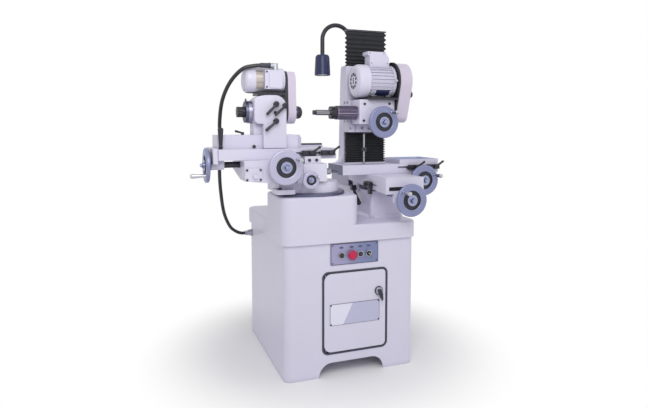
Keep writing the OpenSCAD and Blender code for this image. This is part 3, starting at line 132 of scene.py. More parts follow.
class Finish(NamedTuple):
    """One finish: two colours that mingle in patches, its gloss, and its grain."""
    tint: tuple
    shade: tuple
    rough: tuple
    metal: float = 0.0
    patch: float = 14.0
    grain: float = 500.0
    bump: float = 0.05
    stretch: tuple = ()
    # Colour on the edges, partly wear and partly a painted highlight
    wear_and_highlight: tuple = ()
    specular: float = 0.5
    # Light and dark streaks along turned steel, which are painted reflections
    reflection_streaked: bool = False


def scaled(colour, share):
    """Colour made darker or lighter."""
    return tuple(c * share for c in colour)


def finishes():
    """The machine's finishes by name."""
    colours = bpy.context.scene.grinder_finishes
    paint, rim_light, rim_slate, panel, stop = (
        tuple(c) for c in (colours.paint, colours.rim_light, colours.rim_slate, colours.panel, colours.stop))
    return {
        # Enamel: its lighter edges are a painted highlight. The guards' enamel is a warmer paint that is also
        # darkened as painted shade, with a painted highlight on its edges
        "enamel": Finish(paint, scaled(paint, 0.93), (0.30, 0.42), patch=5, grain=420, wear_and_highlight=scaled(paint, 1.06)),
        "guard_tone_and_shade": Finish((0.695, 0.625, 0.765), (0.650, 0.580, 0.715), (0.30, 0.42), patch=5, grain=420,
                               wear_and_highlight=paint),
        "rim_light": Finish(rim_light, scaled(rim_light, 0.86), (0.30, 0.42), 0.35, patch=20, grain=700,
                            bump=0.04, wear_and_highlight=scaled(rim_light, 1.2)),
        "rim_slate": Finish(rim_slate, scaled(rim_slate, 0.84), (0.30, 0.42), 0.35, patch=20, grain=700,
                            bump=0.04, wear_and_highlight=scaled(rim_slate, 1.4)),
        # Black in hollows: partly dark paint, partly painted shade in slots and openings
        "recess_paint_and_shade": Finish((0.018, 0.018, 0.026), (0.030, 0.030, 0.042), (0.42, 0.60), patch=30, grain=600,
                               bump=0.1),
        "ground_steel": Finish((0.42, 0.42, 0.46), (0.32, 0.32, 0.37), (0.20, 0.32), 1.0, patch=30, grain=260,
                               stretch=(9, 0.4, 0.4)),
        # Quill and arbor: their light and dark streaks are painted reflections
        "quill_steel": Finish((0.36, 0.32, 0.45), (0.10, 0.08, 0.14), (0.24, 0.36), 0.85, patch=13, grain=260,
                              stretch=(0.3, 9, 9), wear_and_highlight=(0.46, 0.43, 0.54), reflection_streaked=True),
        "arbor_steel": Finish((0.40, 0.38, 0.42), (0.15, 0.13, 0.16), (0.20, 0.32), 1.0, grain=260,
                              stretch=(0.3, 12, 12), reflection_streaked=True),
        # Painted shade in the quill's grooves
        "quill_groove_shade": Finish((0.060, 0.050, 0.075), (0.040, 0.034, 0.052), (0.38, 0.52), 0.5, patch=24,
                               grain=260, bump=0.1),
        "hub_steel": Finish((0.40, 0.43, 0.64), (0.29, 0.31, 0.48), (0.18, 0.30), 0.9, patch=40, grain=300,
                            bump=0.04, wear_and_highlight=(0.60, 0.62, 0.78)),
        "index_steel": Finish((0.44, 0.43, 0.56), (0.34, 0.33, 0.45), (0.22, 0.34), 0.9, patch=22, grain=280),
        "ring_steel": Finish((0.17, 0.175, 0.27), (0.115, 0.12, 0.19), (0.24, 0.36), 0.9, patch=18, grain=300,
                             stretch=(0.5, 0.5, 9)),
        "bright_steel": Finish((0.60, 0.60, 0.65), (0.44, 0.44, 0.50), (0.12, 0.24), 1.0, patch=30, grain=300,
                               bump=0.03),
        "latch_steel": Finish((0.42, 0.43, 0.50), (0.26, 0.26, 0.33), (0.10, 0.20), 1.0, patch=60, grain=300,
                              bump=0.03),
        "dark_steel": Finish((0.10, 0.10, 0.125), (0.065, 0.065, 0.085), (0.28, 0.42), 0.8, patch=36, grain=400,
                             bump=0.06),
        "oxide_black": Finish((0.019, 0.018, 0.027), (0.042, 0.039, 0.054), (0.32, 0.48), 0.25, patch=40,
                              grain=600, bump=0.12, wear_and_highlight=(0.11, 0.11, 0.13)),
        # Levers: the blue grey on their edges is a painted highlight
        "lever_black": Finish((0.020, 0.020, 0.030), (0.046, 0.045, 0.062), (0.24, 0.38), 0.4, patch=60,
                              grain=600, bump=0.1, wear_and_highlight=(0.30, 0.31, 0.39)),
        "rubber": Finish((0.019, 0.020, 0.023), (0.032, 0.034, 0.038), (0.50, 0.68), patch=26, grain=900,
                         bump=0.25, specular=0.25),
        "hose_black": Finish((0.017, 0.017, 0.022), (0.030, 0.030, 0.037), (0.22, 0.34), patch=26, grain=900,
                             bump=0.08),
        "gasket_slate": Finish((0.050, 0.056, 0.085), (0.036, 0.041, 0.064), (0.50, 0.66), patch=26, grain=900,
                               bump=0.2),
        "black_plastic": Finish((0.018, 0.018, 0.022), (0.028, 0.028, 0.034), (0.28, 0.40), patch=40, grain=900,
                                bump=0.1),
        "stop_red": Finish(stop, scaled(stop, 0.8), (0.22, 0.32), patch=30, grain=900, bump=0.04),
        "panel_blue": Finish(panel, scaled(panel, 0.82), (0.34, 0.46), 0.15, grain=800, bump=0.06),
        # Lilac for the painted reflection on the control plate
        "panel_painted_reflection": Finish((0.41, 0.39, 0.61), (0.35, 0.33, 0.53), (0.34, 0.46), 0.15, grain=800, bump=0.06),
        "panel_edge": Finish(scaled(panel, 0.42), scaled(panel, 0.34), (0.40, 0.52), 0.15, grain=800, bump=0.06),
        "zinc": Finish((0.52, 0.53, 0.57), (0.36, 0.37, 0.42), (0.30, 0.48), 0.9, patch=55, grain=300),
        "lamp_navy": Finish((0.024, 0.030, 0.088), (0.034, 0.042, 0.115), (0.18, 0.28), patch=20, bump=0.03,
                            wear_and_highlight=(0.09, 0.10, 0.16), specular=0.3),
        "neck_black": Finish((0.022, 0.022, 0.032), (0.034, 0.033, 0.046), (0.26, 0.40), patch=40, bump=0.08,
                             specular=0.3),
        "lens_white": Finish((0.86, 0.86, 0.82), (0.78, 0.78, 0.75), (0.12, 0.20), patch=60, grain=700,
                             bump=0.02),
        "tray_blue": Finish((0.57, 0.62, 0.83), (0.49, 0.54, 0.74), (0.40, 0.55), patch=16, grain=420,
                            bump=0.08),
        "end_slate": Finish((0.185, 0.195, 0.31), (0.15, 0.16, 0.26), (0.40, 0.55), patch=16, grain=420,
                            bump=0.06),
        "cover_grey": Finish((0.42, 0.40, 0.53), (0.35, 0.33, 0.45), (0.35, 0.48), 0.2, patch=18, grain=420),
        "plate_pale": Finish((0.82, 0.82, 0.95), (0.75, 0.75, 0.89), (0.24, 0.34), 0.2, bump=0.03),
        "plate_lavender": Finish((0.56, 0.56, 0.75), (0.49, 0.49, 0.67), (0.26, 0.36), 0.2, bump=0.03),
        # Dark rules printed on the work motor's plate; round the door plate the same colour is a painted shadow of
        # its lip
        "plate_rule_and_rim_shadow": Finish((0.21, 0.20, 0.29), (0.16, 0.15, 0.23), (0.32, 0.44), 0.3, patch=30, bump=0.03),
        "plate_navy": Finish((0.030, 0.036, 0.115), (0.042, 0.050, 0.14), (0.26, 0.36), 0.2, patch=40,
                             bump=0.03),
        "plate_cream": Finish((0.58, 0.51, 0.45), (0.45, 0.39, 0.35), (0.30, 0.42), 0.3, patch=45, bump=0.03),
        "mark_white": Finish((0.82, 0.82, 0.84), (0.74, 0.74, 0.77), (0.30, 0.40), patch=40, grain=800,
                             bump=0.04),
    }


def add_node(tree, kind, settings=None, inputs=None):
    """Adds a node. Each input is a value or the socket that feeds it."""
    node = tree.nodes.new(kind)
    for name, value in (settings or {}).items():
        setattr(node, name, value)
    for key, value in (inputs or {}).items():
        if isinstance(value, bpy.types.NodeSocket):
            tree.links.new(value, node.inputs[key])
        else:
            node.inputs[key].default_value = value
    return node


def math_node(tree, operation, *values):
    """One sum of numbers and sockets."""
    return add_node(tree, "ShaderNodeMath", {"operation": operation}, dict(enumerate(values))).outputs[0]


def vector_node(tree, operation, *vectors):
    """One sum of vectors and sockets, which is a number for a length or a dot product."""
    node = add_node(tree, "ShaderNodeVectorMath", {"operation": operation}, dict(enumerate(vectors)))
    return node.outputs["Value" if operation in ("LENGTH", "DOT_PRODUCT") else "Vector"]


def map_range(tree, value, low, high, start=0.0, end=1.0, kind="LINEAR"):
    """Number that goes from start to end while the value goes from low to high."""
    return add_node(tree, "ShaderNodeMapRange", {"interpolation_type": kind}, {
        "Value": value, "From Min": low, "From Max": high, "To Min": start, "To Max": end}).outputs[0]


def mix_colour(tree, share, a, b):
    """Colour between a and b."""
    def full(colour):
        return colour if isinstance(colour, bpy.types.NodeSocket) else (*colour, 1.0)
    return add_node(tree, "ShaderNodeMix", {"data_type": "RGBA"}, {0: share, 6: full(a), 7: full(b)}).outputs[2]


def mix_value(tree, share, a, b):
    """Number between a and b."""
    return add_node(tree, "ShaderNodeMix", {"data_type": "FLOAT"}, {0: share, 2: a, 3: b}).outputs[0]


def noise(tree, place, scale, detail):
    """Noise at that many patches a metre."""
    return add_node(tree, "ShaderNodeTexNoise", None,
                    {"Vector": place, "Scale": scale, "Detail": detail, "Roughness": 0.55}).outputs[0]


def axis_value(tree, place, axis):
    """Distance along X, Y or Z in the machine's frame."""
    return add_node(tree, "ShaderNodeSeparateXYZ", None, {0: place}).outputs["XYZ".index(axis)]


def empty_tree(holder):
    """Node tree of a material or world, with nothing in it yet."""
    holder.use_nodes = True
    holder.node_tree.nodes.clear()
    return holder.node_tree


def between(axis, low=None, high=None):
    """Mask that is 1 between two planes across an axis."""
    def mask(tree, place):
        value = axis_value(tree, place, axis)
        shares = []
        if low is not None:
            shares.append(math_node(tree, "GREATER_THAN", value, low))
        if high is not None:
            shares.append(math_node(tree, "LESS_THAN", value, high))
        return shares[0] if len(shares) == 1 else math_node(tree, "MULTIPLY", *shares)
    return mask


def about(axis, centre, low=0.0, high=9.0):
    """Mask that is 1 between two distances from a line along an axis."""
    keep = tuple(0.0 if letter == axis else 1.0 for letter in "XYZ")

    def mask(tree, place):
        flat = vector_node(tree, "MULTIPLY", vector_node(tree, "SUBTRACT", place, centre), keep)
        radius = vector_node(tree, "LENGTH", flat)
        return math_node(tree, "MULTIPLY", math_node(tree, "GREATER_THAN", radius, low),
                         math_node(tree, "LESS_THAN", radius, high))
    return mask


def sectors(centre, count, share):
    """Mask that is 1 in a number of sectors round a line along X. share is how full they are."""
    def mask(tree, place):
        offset = vector_node(tree, "SUBTRACT", place, centre)
        angle = math_node(tree, "ARCTAN2", axis_value(tree, offset, "Y"), axis_value(tree, offset, "Z"))
        wave = math_node(tree, "COSINE", math_node(tree, "MULTIPLY", angle, count))
        return math_node(tree, "GREATER_THAN", wave, math.cos(math.pi * share))
    return mask


def beyond(direction, distance):
    """Mask that is 1 past a plane, given by its normal and its distance from the origin."""
    def mask(tree, place):
        return math_node(tree, "GREATER_THAN", vector_node(tree, "DOT_PRODUCT", place, direction), distance)
    return mask


def fading(axis, start, end):
    """Mask that falls from 1 to 0 between two planes across an axis."""
    def mask(tree, place):
        return map_range(tree, axis_value(tree, place, axis), start, end, 1.0, 0.0, "SMOOTHSTEP")
    return mask


def both(*masks):
    """Mask that is 1 where all of these are."""
    def mask(tree, place):
        share, *others = [each(tree, place) for each in masks]
        for other in others:
            share = math_node(tree, "MULTIPLY", share, other)
        return share
    return mask


def edge_wear_and_highlight(tree, place):
    """Normal with its edges rounded off, and a patchy mask of those edges, where wear and painted highlights show.
    """
    rounded = add_node(tree, "ShaderNodeBevel", {"samples": 4}, {"Radius": EDGE_RADIUS}).outputs[0]
    flat = add_node(tree, "ShaderNodeNewGeometry").outputs["True Normal"]
    edge = map_range(tree, vector_node(tree, "DOT_PRODUCT", rounded, flat), *EDGE_TURN)
    return rounded, math_node(tree, "MULTIPLY", edge, noise(tree, place, WEAR_AND_HIGHLIGHT_PATCH, 2.0))


def lay_finish(tree, place, finish, edge):
    """Colour, roughness and grain of one finish, with its edge colour along the edges, which is partly wear and
    partly a painted highlight.
    """
    along = vector_node(tree, "MULTIPLY", place, finish.stretch) if finish.stretch else place
    # Painted reflections: a reflection-streaked finish takes its patches from stretched noise, as hard light and
    # dark streaks
    patch = noise(tree, along if finish.reflection_streaked else place, finish.patch, 3.0)
    if finish.reflection_streaked:
        patch = map_range(tree, patch, *REFLECTION_STREAK)
    grain = noise(tree, along, finish.grain, 2.0)
    colour = mix_colour(tree, patch, finish.tint, finish.shade)
    # Edge colour: partly wear, partly a painted highlight
    if finish.wear_and_highlight:
        colour = mix_colour(tree, edge, colour, finish.wear_and_highlight)
    return colour, mix_value(tree, grain, *finish.rough), math_node(tree, "MULTIPLY", grain, finish.bump)


def make_material(name, base, accents=()):
    """Material of one base finish, with other finishes where their masks say."""
    table = finishes()
    material = bpy.data.materials.new(name)
    tree = empty_tree(material)
    place = add_node(tree, "ShaderNodeTexCoord").outputs["Object"]
    rounded, edge = edge_wear_and_highlight(tree, place)
    colour, rough, height = lay_finish(tree, place, table[base], edge)
    metal = table[base].metal
    for mask, accent in accents:
        share = mask(tree, place)
        accent_colour, accent_rough, accent_height = lay_finish(tree, place, table[accent], edge)
        colour = mix_colour(tree, share, colour, accent_colour)
        rough = mix_value(tree, share, rough, accent_rough)
        height = mix_value(tree, share, height, accent_height)
        metal = mix_value(tree, share, metal, table[accent].metal)
    # Painted shade: ambient occlusion darkens the colour where parts close in
    crevice = add_node(tree, "ShaderNodeAmbientOcclusion", {"samples": 6}, {"Distance": CORNER_SHADE_REACH}).outputs["AO"]
    corner_shade = map_range(tree, crevice, *CORNER_SHADE_OPEN, CORNER_SHADE_LEVEL, 1.0)
    colour = add_node(tree, "ShaderNodeVectorMath", {"operation": "SCALE"}, {0: colour, "Scale": corner_shade}).outputs[0]
    bump = add_node(tree, "ShaderNodeBump", None, {
        "Strength": BUMP_STRENGTH, "Distance": BUMP_DEPTH, "Height": height, "Normal": rounded}).outputs[0]
    shader = add_node(tree, "ShaderNodeBsdfPrincipled", None, {
        "Base Color": colour, "Roughness": rough, "Metallic": metal, "Normal": bump,
        "Specular IOR Level": table[base].specular})
    add_node(tree, "ShaderNodeOutputMaterial", None, {"Surface": shader.outputs[0]})
    return material


def coat(piece, material):
    """Gives a piece or node one material in all its slots."""
    slots = piece.material_slots
    if not slots:
        piece.data.materials.append(material)
    for each in slots:
        each.material = material


def dress(piece, material, body):
    """Gives a new piece its material and the body that it rides on."""
    coat(piece, material)
    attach(piece, body)


# Where each CAD node gets which finish. Planes and radii lie a little off the faces of the solids

class Handwheel(NamedTuple):
    """One handwheel. front is its rim's face and hub its hub's face, both from the centre towards the hand."""
    name: str
    node: str
    body: str
    centre: tuple
    rim: str
    axis: str = "Y"
    radius: float = 0.073
    front: float = 0.0086
    hub: float = 0.0149
    nut: float = 1.0


HANDWHEELS = (
    Handwheel("left_cross", "left_cross_wheel", "left_crank", (-0.313, -0.380, 0.938), "rim_light"),
    Handwheel("right_cross", "right_cross_wheel", "right_crank", (0.241, -0.435, 0.783), "rim_slate"),
    Handwheel("right_table", "right_table_wheel", "traverse_crank", (0.413, -0.250, 0.848), "rim_slate"),
    Handwheel("head_lift", "head_wheel", "lift_crank", (0.177, -0.285, 1.126), "rim_slate"),
    Handwheel("table_end", "table_wheel", "table_crank", (-0.616, -0.235, 0.945), "rim_slate", "X"),
    Handwheel("fine_feed", "fine_feed_wheel", "fine_crank", (-0.203, -0.375, 0.882), "rim_light",
              radius=0.037, front=0.0066, hub=0.0079, nut=0.62),
)
RECESS_SHARE = (0.33, 0.575)
HUB_SHARE = 0.332
HANDLE_SHARE = 0.5
TABLE_SCREW_START = -0.6015

WHEEL_AXIS = (0, -0.200, 1.169)
HEAD_MOTOR_AXIS = (0, -0.200, 1.315)
HEAD_MOTOR_END = 0.0705
WORK_MOTOR_AXIS = (0, -0.200, 1.305)
LAMP_TOP = 1.4515

PAINTED = ("cabinet", "bed_casting", "door_panel", "table_end_bracket")
DOGS = ("left_dog_a", "left_dog_b", "right_dog_a", "right_dog_b", "saddle_dog")
LEVERS = ("saddle_lever", "upright_lever", "base_lever", "clamp_lever_a", "clamp_lever_b", "clamp_lever_c")
PLAIN = {
    **dict.fromkeys(PAINTED, "enamel"),
    **dict.fromkeys(DOGS, "oxide_black"),
    **dict.fromkeys(LEVERS, "lever_black"),
    "door_gasket": "gasket_slate", "hinge_pins": "ground_steel", "conduit_gland": "bright_steel",
    "electrical_panel": "zinc", "turntable_ring": "ring_steel", "start_button": "black_plastic",
    "stop_button": "stop_red", "aux_button": "black_plastic", "selector_knob": "black_plastic",
    "fine_feed_knob": "ground_steel", "work_rotor": "ground_steel", "head_rotor": "ground_steel",
    "work_belt": "rubber", "head_belt": "rubber", "stop_rod": "ground_steel", "stop_collar": "dark_steel",
}


def handwheel_finish(wheel):
    """Base and accents of a handwheel: rim, recess in black that is partly paint and partly painted shade, bright
    hub and handle.
    """
    axis, centre, radius = wheel.axis, wheel.centre, wheel.radius
    face = centre["XYZ".index(axis)] - wheel.front
    return wheel.rim, [
        (about(axis, centre, RECESS_SHARE[0] * radius, RECESS_SHARE[1] * radius), "recess_paint_and_shade"),
        (about(axis, centre, 0, HUB_SHARE * radius), "hub_steel"),
        (both(between(axis, high=face), about(axis, centre, HANDLE_SHARE * radius)), "bright_steel"),
    ]


def mixed_finishes():
    """Nodes that carry more than one finish: base and accents."""
    mixed = {
        "control_panel": ("panel_blue", [
            # Painted reflection: the plate fades to lilac towards its left
            (fading("X", -0.06, 0.07), "panel_painted_reflection"),
            (between("X", high=-0.1002), "panel_edge"), (between("X", 0.1222), "panel_edge"),
            (between("Z", high=0.5028), "panel_edge"), (between("Z", 0.5912), "panel_edge"),
            (between("Y", high=-0.3432), "bright_steel")]),
        "door_latch": ("latch_steel", [
            (between("Y", high=-0.3505), "lever_black"),
            (about("Y", (0.130, 0, 0.365), 0.0168), "lever_black")]),
        "lamp": ("neck_black", [(both(between("X", high=0.0), between("Z", high=LAMP_TOP)), "lamp_navy")]),
        "swivel_base": ("enamel", [
            (both(between("Z", 0.8385), about("Z", (-0.320, -0.302, 0), 0, 0.009)), "oxide_black")]),
        "left_saddle": ("enamel", [
            (both(between("Y", high=-0.3403), about("Y", (-0.433, 0, 0.902), 0.0105)), "oxide_black")]),
        "fine_feed_box": ("enamel", [(both(between("Y", high=-0.3272), between("Z", 0.9475)), "oxide_black")]),
        "left_table": ("enamel", [(between("Z", 1.0202), "oxide_black")]),
        "head_base": ("enamel", [(between("Y", high=-0.2503), "oxide_black")]),
        "work_head": ("enamel", [(between("Y", high=-0.2702), "oxide_black")]),
        "work_spindle": ("index_steel", [
            (between("X", high=-0.4353), "ring_steel"), (between("X", high=-0.4468), "oxide_black"),
            (between("X", -0.2138), "oxide_black")]),
        "work_motor": ("enamel", [
            (between("Z", high=1.2527), "oxide_black"),
            (both(between("Z", 1.3452), between("Y", high=-0.2405)), "zinc")]),
        "work_guard": ("guard_tone_and_shade", [(between("X", high=-0.2642), "oxide_black")]),
        "right_saddle": ("enamel", [
            # Painted shade in the slot in the saddle's front
            (both(between("X", 0.1555, 0.3145), between("Y", -0.3845, -0.3745), between("Z", 0.8205, 0.8385)),
             "recess_paint_and_shade")]),
        "right_table": ("enamel", [
            # Dark slate on the table's left end face
            (between("X", high=0.0125), "end_slate"),
            (both(between("X", 0.3155, 0.5195), between("Y", -0.1895, -0.0115), between("Z", 0.9285, 0.9468)),
             "tray_blue")]),
        "column": ("enamel", [(between("Z", 1.5602), "oxide_black")]),
        "wheel_head": ("enamel", [
            (both(between("Y", high=-0.2453), about("Y", (0.177, 0, 1.126), 0.0225)), "oxide_black"),
            (between("Z", high=1.0788), "oxide_black")]),
        "quill": ("quill_steel", [
            # Painted shade in the grooves along the quill
            (both(between("X", -0.0168, 0.0688), about("X", WHEEL_AXIS, 0, 0.0315)), "quill_groove_shade")]),
        "wheel_spindle": ("arbor_steel", [
            (both(between("X", -0.0532, -0.0258), about("X", WHEEL_AXIS, 0.0152)), "oxide_black"),
            (between("X", high=-0.1212), "oxide_black")]),
        "head_motor": ("enamel", [
            (between("Z", high=1.2395), "oxide_black"),
            (both(between("Z", high=1.2465), between("X", 0.1355, 0.1625)), "oxide_black"),
            (both(between("Z", high=1.2465), between("X", 0.2095, 0.2365)), "oxide_black"),
            # Fan end: a black centre disc and a black bar across it; the black sectors are painted shade in the
            # fan slots and reach past them
            (both(between("X", 0.0623, HEAD_MOTOR_END), about("X", HEAD_MOTOR_AXIS, 0, 0.034)), "recess_paint_and_shade"),
            (both(between("X", high=HEAD_MOTOR_END), about("X", HEAD_MOTOR_AXIS, 0.0235, 0.0375),
                  sectors(HEAD_MOTOR_AXIS, 10, 0.74)), "recess_paint_and_shade"),
            (both(between("X", high=HEAD_MOTOR_END), between("Y", -0.205, -0.195),
                  about("X", HEAD_MOTOR_AXIS, 0, 0.0145)), "recess_paint_and_shade")]),
        "head_guard": ("guard_tone_and_shade", [
            (between("X", high=0.2602), "oxide_black"), (between("X", 0.3222), "oxide_black")]),
        **{wheel.node: handwheel_finish(wheel) for wheel in HANDWHEELS},
    }
    mixed["table_wheel"][1].append((between("X", TABLE_SCREW_START), "oxide_black"))
    return mixed


# Modelling helpers

def deselect():
    """Leaves nothing selected."""
    bpy.ops.object.select_all(action="DESELECT")


def make_active(piece):
    """Leaves one piece selected, as the active one."""
    deselect()
    piece.select_set(True)
    bpy.context.view_layer.objects.active = piece


def name_piece(name):
    """Names the piece that was just added."""
    piece = bpy.context.active_object
    piece.name = name
    piece.data.name = name
    return piece


def start_edit():
    """Edit mode on the active piece, all of it selected."""
    bpy.ops.object.mode_set(mode="EDIT")
    bpy.ops.mesh.select_all(action="SELECT")


def pick(kind, test):
    """Selects the faces, edges or points of the piece in edit mode that pass a test."""
    bpy.ops.mesh.select_mode(type=kind)
    bpy.ops.mesh.select_all(action="DESELECT")
    data = bpy.context.edit_object.data
    mesh = bmesh.from_edit_mesh(data)
    for part in {"FACE": mesh.faces, "EDGE": mesh.edges, "VERT": mesh.verts}[kind]:
        part.select_set(test(part))
    bmesh.update_edit_mesh(data)


def pick_edges(test):
    """Selects the edges with both ends where the test says."""
    pick("EDGE", lambda edge: all(test(v.co) for v in edge.verts))


NEAR = 1e-4


def near(value, target):
    """True within a tenth of a millimetre."""
    return abs(value - target) < NEAR


def draw_up(height):
    """Extrudes what is selected along Z."""
    bpy.ops.mesh.extrude_region_move(TRANSFORM_OT_translate={"value": (0, 0, height)})


def end_edit(angle=35):
    """Object mode, with curved faces shaded smooth."""
    bpy.ops.mesh.select_mode(type="VERT")
    bpy.ops.object.mode_set(mode="OBJECT")
    bpy.ops.object.shade_smooth_by_angle(angle=math.radians(angle))


def close_edit(angle=35):
    """Turns every face outwards and ends edit mode."""
    bpy.ops.mesh.select_all(action="SELECT")
    bpy.ops.mesh.normals_make_consistent(inside=False)
    end_edit(angle)


def settle(piece):
    """Puts a piece's place, turn and size into its mesh."""
    make_active(piece)
    bpy.ops.object.transform_apply(location=True, rotation=True, scale=True)


def add_sheet(name, size, place=(0, 0, 0)):
    """Plain sheet across Z to start a piece from, in edit mode."""
    deselect()
    bpy.ops.mesh.primitive_plane_add(size=1, location=place)
    piece = name_piece(name)
    piece.scale = (*size, 1)
    settle(piece)
    start_edit()
    return piece


def add_block(name, *spans):
    """Plain block to start a piece from, given by its span on each axis, in edit mode."""
    deselect()
    bpy.ops.mesh.primitive_cube_add(size=1, location=[sum(span) / 2 for span in spans])
    piece = name_piece(name)
    piece.scale = [high - low for low, high in spans]
    settle(piece)
    start_edit()
    return piece


def apply_modifier(piece, kind, **settings):
    """Adds a modifier and applies it."""
    make_active(piece)
    modifier = piece.modifiers.new(kind.title(), kind)
    for name, value in settings.items():
        setattr(modifier, name, value)
    bpy.ops.object.modifier_apply(modifier=modifier.name)


def soften(piece, width, angle=40):
    """Rounds off the edges that are sharper than an angle."""
    apply_modifier(piece, "BEVEL", width=width, segments=2, limit_method="ANGLE", angle_limit=math.radians(angle))


def set_at(piece, place, turn):
    """Turns a piece's mesh and moves it to its place."""
    piece.data.transform(Matrix.Translation(place) @ turn)


def copy_to(pattern, name, place, turn, size=1.0):
    """A copy of a pattern piece with its own mesh, scaled, turned and set at a place."""
    piece = bpy.data.objects.new(name, pattern.data.copy())
    bpy.context.scene.collection.objects.link(piece)
    set_at(piece, place, turn @ Matrix.Scale(size, 4))
    piece.data.name = name
    return piece


def discard(*patterns):
    """Takes patterns away once their copies are made."""
    for pattern in patterns:
        bpy.data.objects.remove(pattern, do_unlink=True)


def turn_about(axis, degrees):
    """Turn about X, Y or Z."""
    return Matrix.Rotation(math.radians(degrees), 4, axis)


FACE_FRONT = turn_about("X", 90)
FACE_LEFT = turn_about("Y", -90)
FACE_RIGHT = turn_about("Y", 90)
FACE_DOWN = turn_about("X", 180)
# How deep small and larger fittings sink into the face that they sit on
SEAT = 0.0001
SINK = 0.0002


# Conduit

CONDUIT_ROUTE = (
    (-0.3415, 0.295, 0.541), (-0.3535, 0.295, 0.541), (-0.3655, 0.295, 0.541), (-0.3965, 0.280, 0.554),
    (-0.4375, 0.243, 0.592), (-0.4775, 0.182, 0.676), (-0.5035, 0.112, 0.796), (-0.5165, 0.055, 0.902),
    (-0.5255, -0.025, 1.044), (-0.5345, -0.085, 1.134), (-0.5305, -0.140, 1.221), (-0.5045, -0.190, 1.295),
    (-0.4625, -0.240, 1.346), (-0.4135, -0.249, 1.361), (-0.3675, -0.252, 1.364), (-0.3375, -0.252, 1.364),
)
CONDUIT_STEPS = 6
# Points of the route where a stretch ends
CONDUIT_CUTS = (0, 7, 10, len(CONDUIT_ROUTE) - 1)


def smooth_route(points, steps):
    """Points on one smooth curve through the route."""
    route = [Vector(p) for p in points]
    smooth = []
    for i in range(len(route) - 1):
        a, b, c, d = route[max(i - 1, 0)], route[i], route[i + 1], route[min(i + 2, len(route) - 1)]
        for k in range(steps):
            t = k / steps
            smooth.append(0.5 * (2 * b + (c - a) * t + (2 * a - 5 * b + 4 * c - d) * t ** 2
                                 + (3 * b - a - 3 * c + d) * t ** 3))
    return smooth + [route[-1]]


def tube_along(name, path, diameter):
    """Mesh tube along a path."""
    curve = bpy.data.curves.new(name, "CURVE")
    curve.dimensions = "3D"
    curve.bevel_depth = diameter / 2
    curve.bevel_resolution = 6
    curve.use_fill_caps = True
    spline = curve.splines.new("POLY")
    spline.points.add(len(path) - 1)
    for point, place in zip(spline.points, path):
        point.co = (*place, 1.0)
    piece = bpy.data.objects.new(name, curve)
    bpy.context.scene.collection.objects.link(piece)
    make_active(piece)
    bpy.ops.object.convert(target="MESH")
    bpy.ops.object.shade_smooth_by_angle(angle=math.radians(40))
    return piece


class GRINDER_OT_conduit(bpy.types.Operator):
    """Flexible conduit from the cabinet to the work motor, in three stretches"""
    bl_idname = "grinder.conduit"
    bl_label = "Conduit"

    def execute(self, context):
        diameter = context.scene.grinder_sizes.conduit_diameter
        rubber = make_material("conduit_rubber", "hose_black")
        route = smooth_route(CONDUIT_ROUTE, CONDUIT_STEPS)
        cuts = [cut * CONDUIT_STEPS for cut in CONDUIT_CUTS]
        for i in range(len(cuts) - 1):
            path = route[cuts[i]:cuts[i + 1] + 1]
            piece = tube_along(f"conduit_{i + 1}", path, diameter)
            coat(piece, rubber)
            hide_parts("conduit")
            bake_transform(piece)
        return {"FINISHED"}


# Bellows

COLUMN_X = (0.060, 0.272)
BELLOWS_Y = (-0.112, -0.1003)
UPPER_Z = (1.392, 1.560)
LOWER_Z = (0.932, 1.079)
# How much the folds open up towards the top, their depth in front against that at the sides, the shares of
# a fold that go out, along its crest, in and along its valley, and the rounding of its edges
UPPER_WIDEN = 1.22
LOWER_WIDEN = 1.0
FRONT_FOLD = 0.55
FOLD_SHARES = (0.36, 0.18, 0.36, 0.10)
FOLD_EDGE = 0.0006


def pleated_box(name, low, high, pleats, depth, widen):
    """Bellows folded from one outline that is extruded and drawn in and out."""
    width = COLUMN_X[1] - COLUMN_X[0]
    reach = BELLOWS_Y[1] - BELLOWS_Y[0]
    inner = (width - 2 * depth, reach - depth * FRONT_FOLD)
    middle = sum(COLUMN_X) / 2
    piece = add_sheet(name, inner, (middle, BELLOWS_Y[1] - inner[1] / 2, low))
    out = (width / inner[0], reach / inner[1], 1)
    into = tuple(1 / share for share in out)
    for fold in range(pleats):
        step = (high - low) * (((fold + 1) / pleats) ** widen - (fold / pleats) ** widen)
        for share, size in zip(FOLD_SHARES, (out, None, into, None)):
            draw_up(share * step)
            if size:
                bpy.ops.transform.resize(value=size, center_override=(middle, BELLOWS_Y[1], 0))
    close_edit(20)
    soften(piece, FOLD_EDGE, 25)
    return piece


class GRINDER_OT_bellows(bpy.types.Operator):
    """Pleated bellows above and below the grinding head"""
    bl_idname = "grinder.bellows"
    bl_label = "Bellows"

    def execute(self, context):
        sizes = context.scene.grinder_sizes
        rubber = make_material("bellows_rubber", "rubber")
        plan = (
            ("bellows_upper", "upper_bellows", UPPER_Z, sizes.upper_pleats, UPPER_WIDEN, UPPER_Z[::-1]),
            ("bellows_lower", "lower_bellows", LOWER_Z, sizes.lower_pleats, LOWER_WIDEN, LOWER_Z),
        )
        for name, node, (low, high), pleats, widen, (held, moved) in plan:
            piece = pleated_box(name, low, high, pleats, sizes.pleat_depth, widen)
            coat(piece, rubber)
            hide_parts(node)
            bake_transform(piece)
        return {"FINISHED"}


# Turned and flat fittings

def turned(name, sides, steps):
    """Turned pattern on the Z axis, drawn up from a disc. Each step is a height and a radius."""
    deselect()
    level, radius = steps[0]
    bpy.ops.mesh.primitive_circle_add(vertices=sides, radius=radius, fill_type="NGON", location=(0, 0, level))
    piece = name_piece(name)
    start_edit()
    for height, size in steps[1:]:
        draw_up(height - level)
        bpy.ops.transform.resize(value=(size / radius, size / radius, 1), center_override=(0, 0, 0))
        level, radius = height, size
    close_edit()
    settle(piece)
    return piece


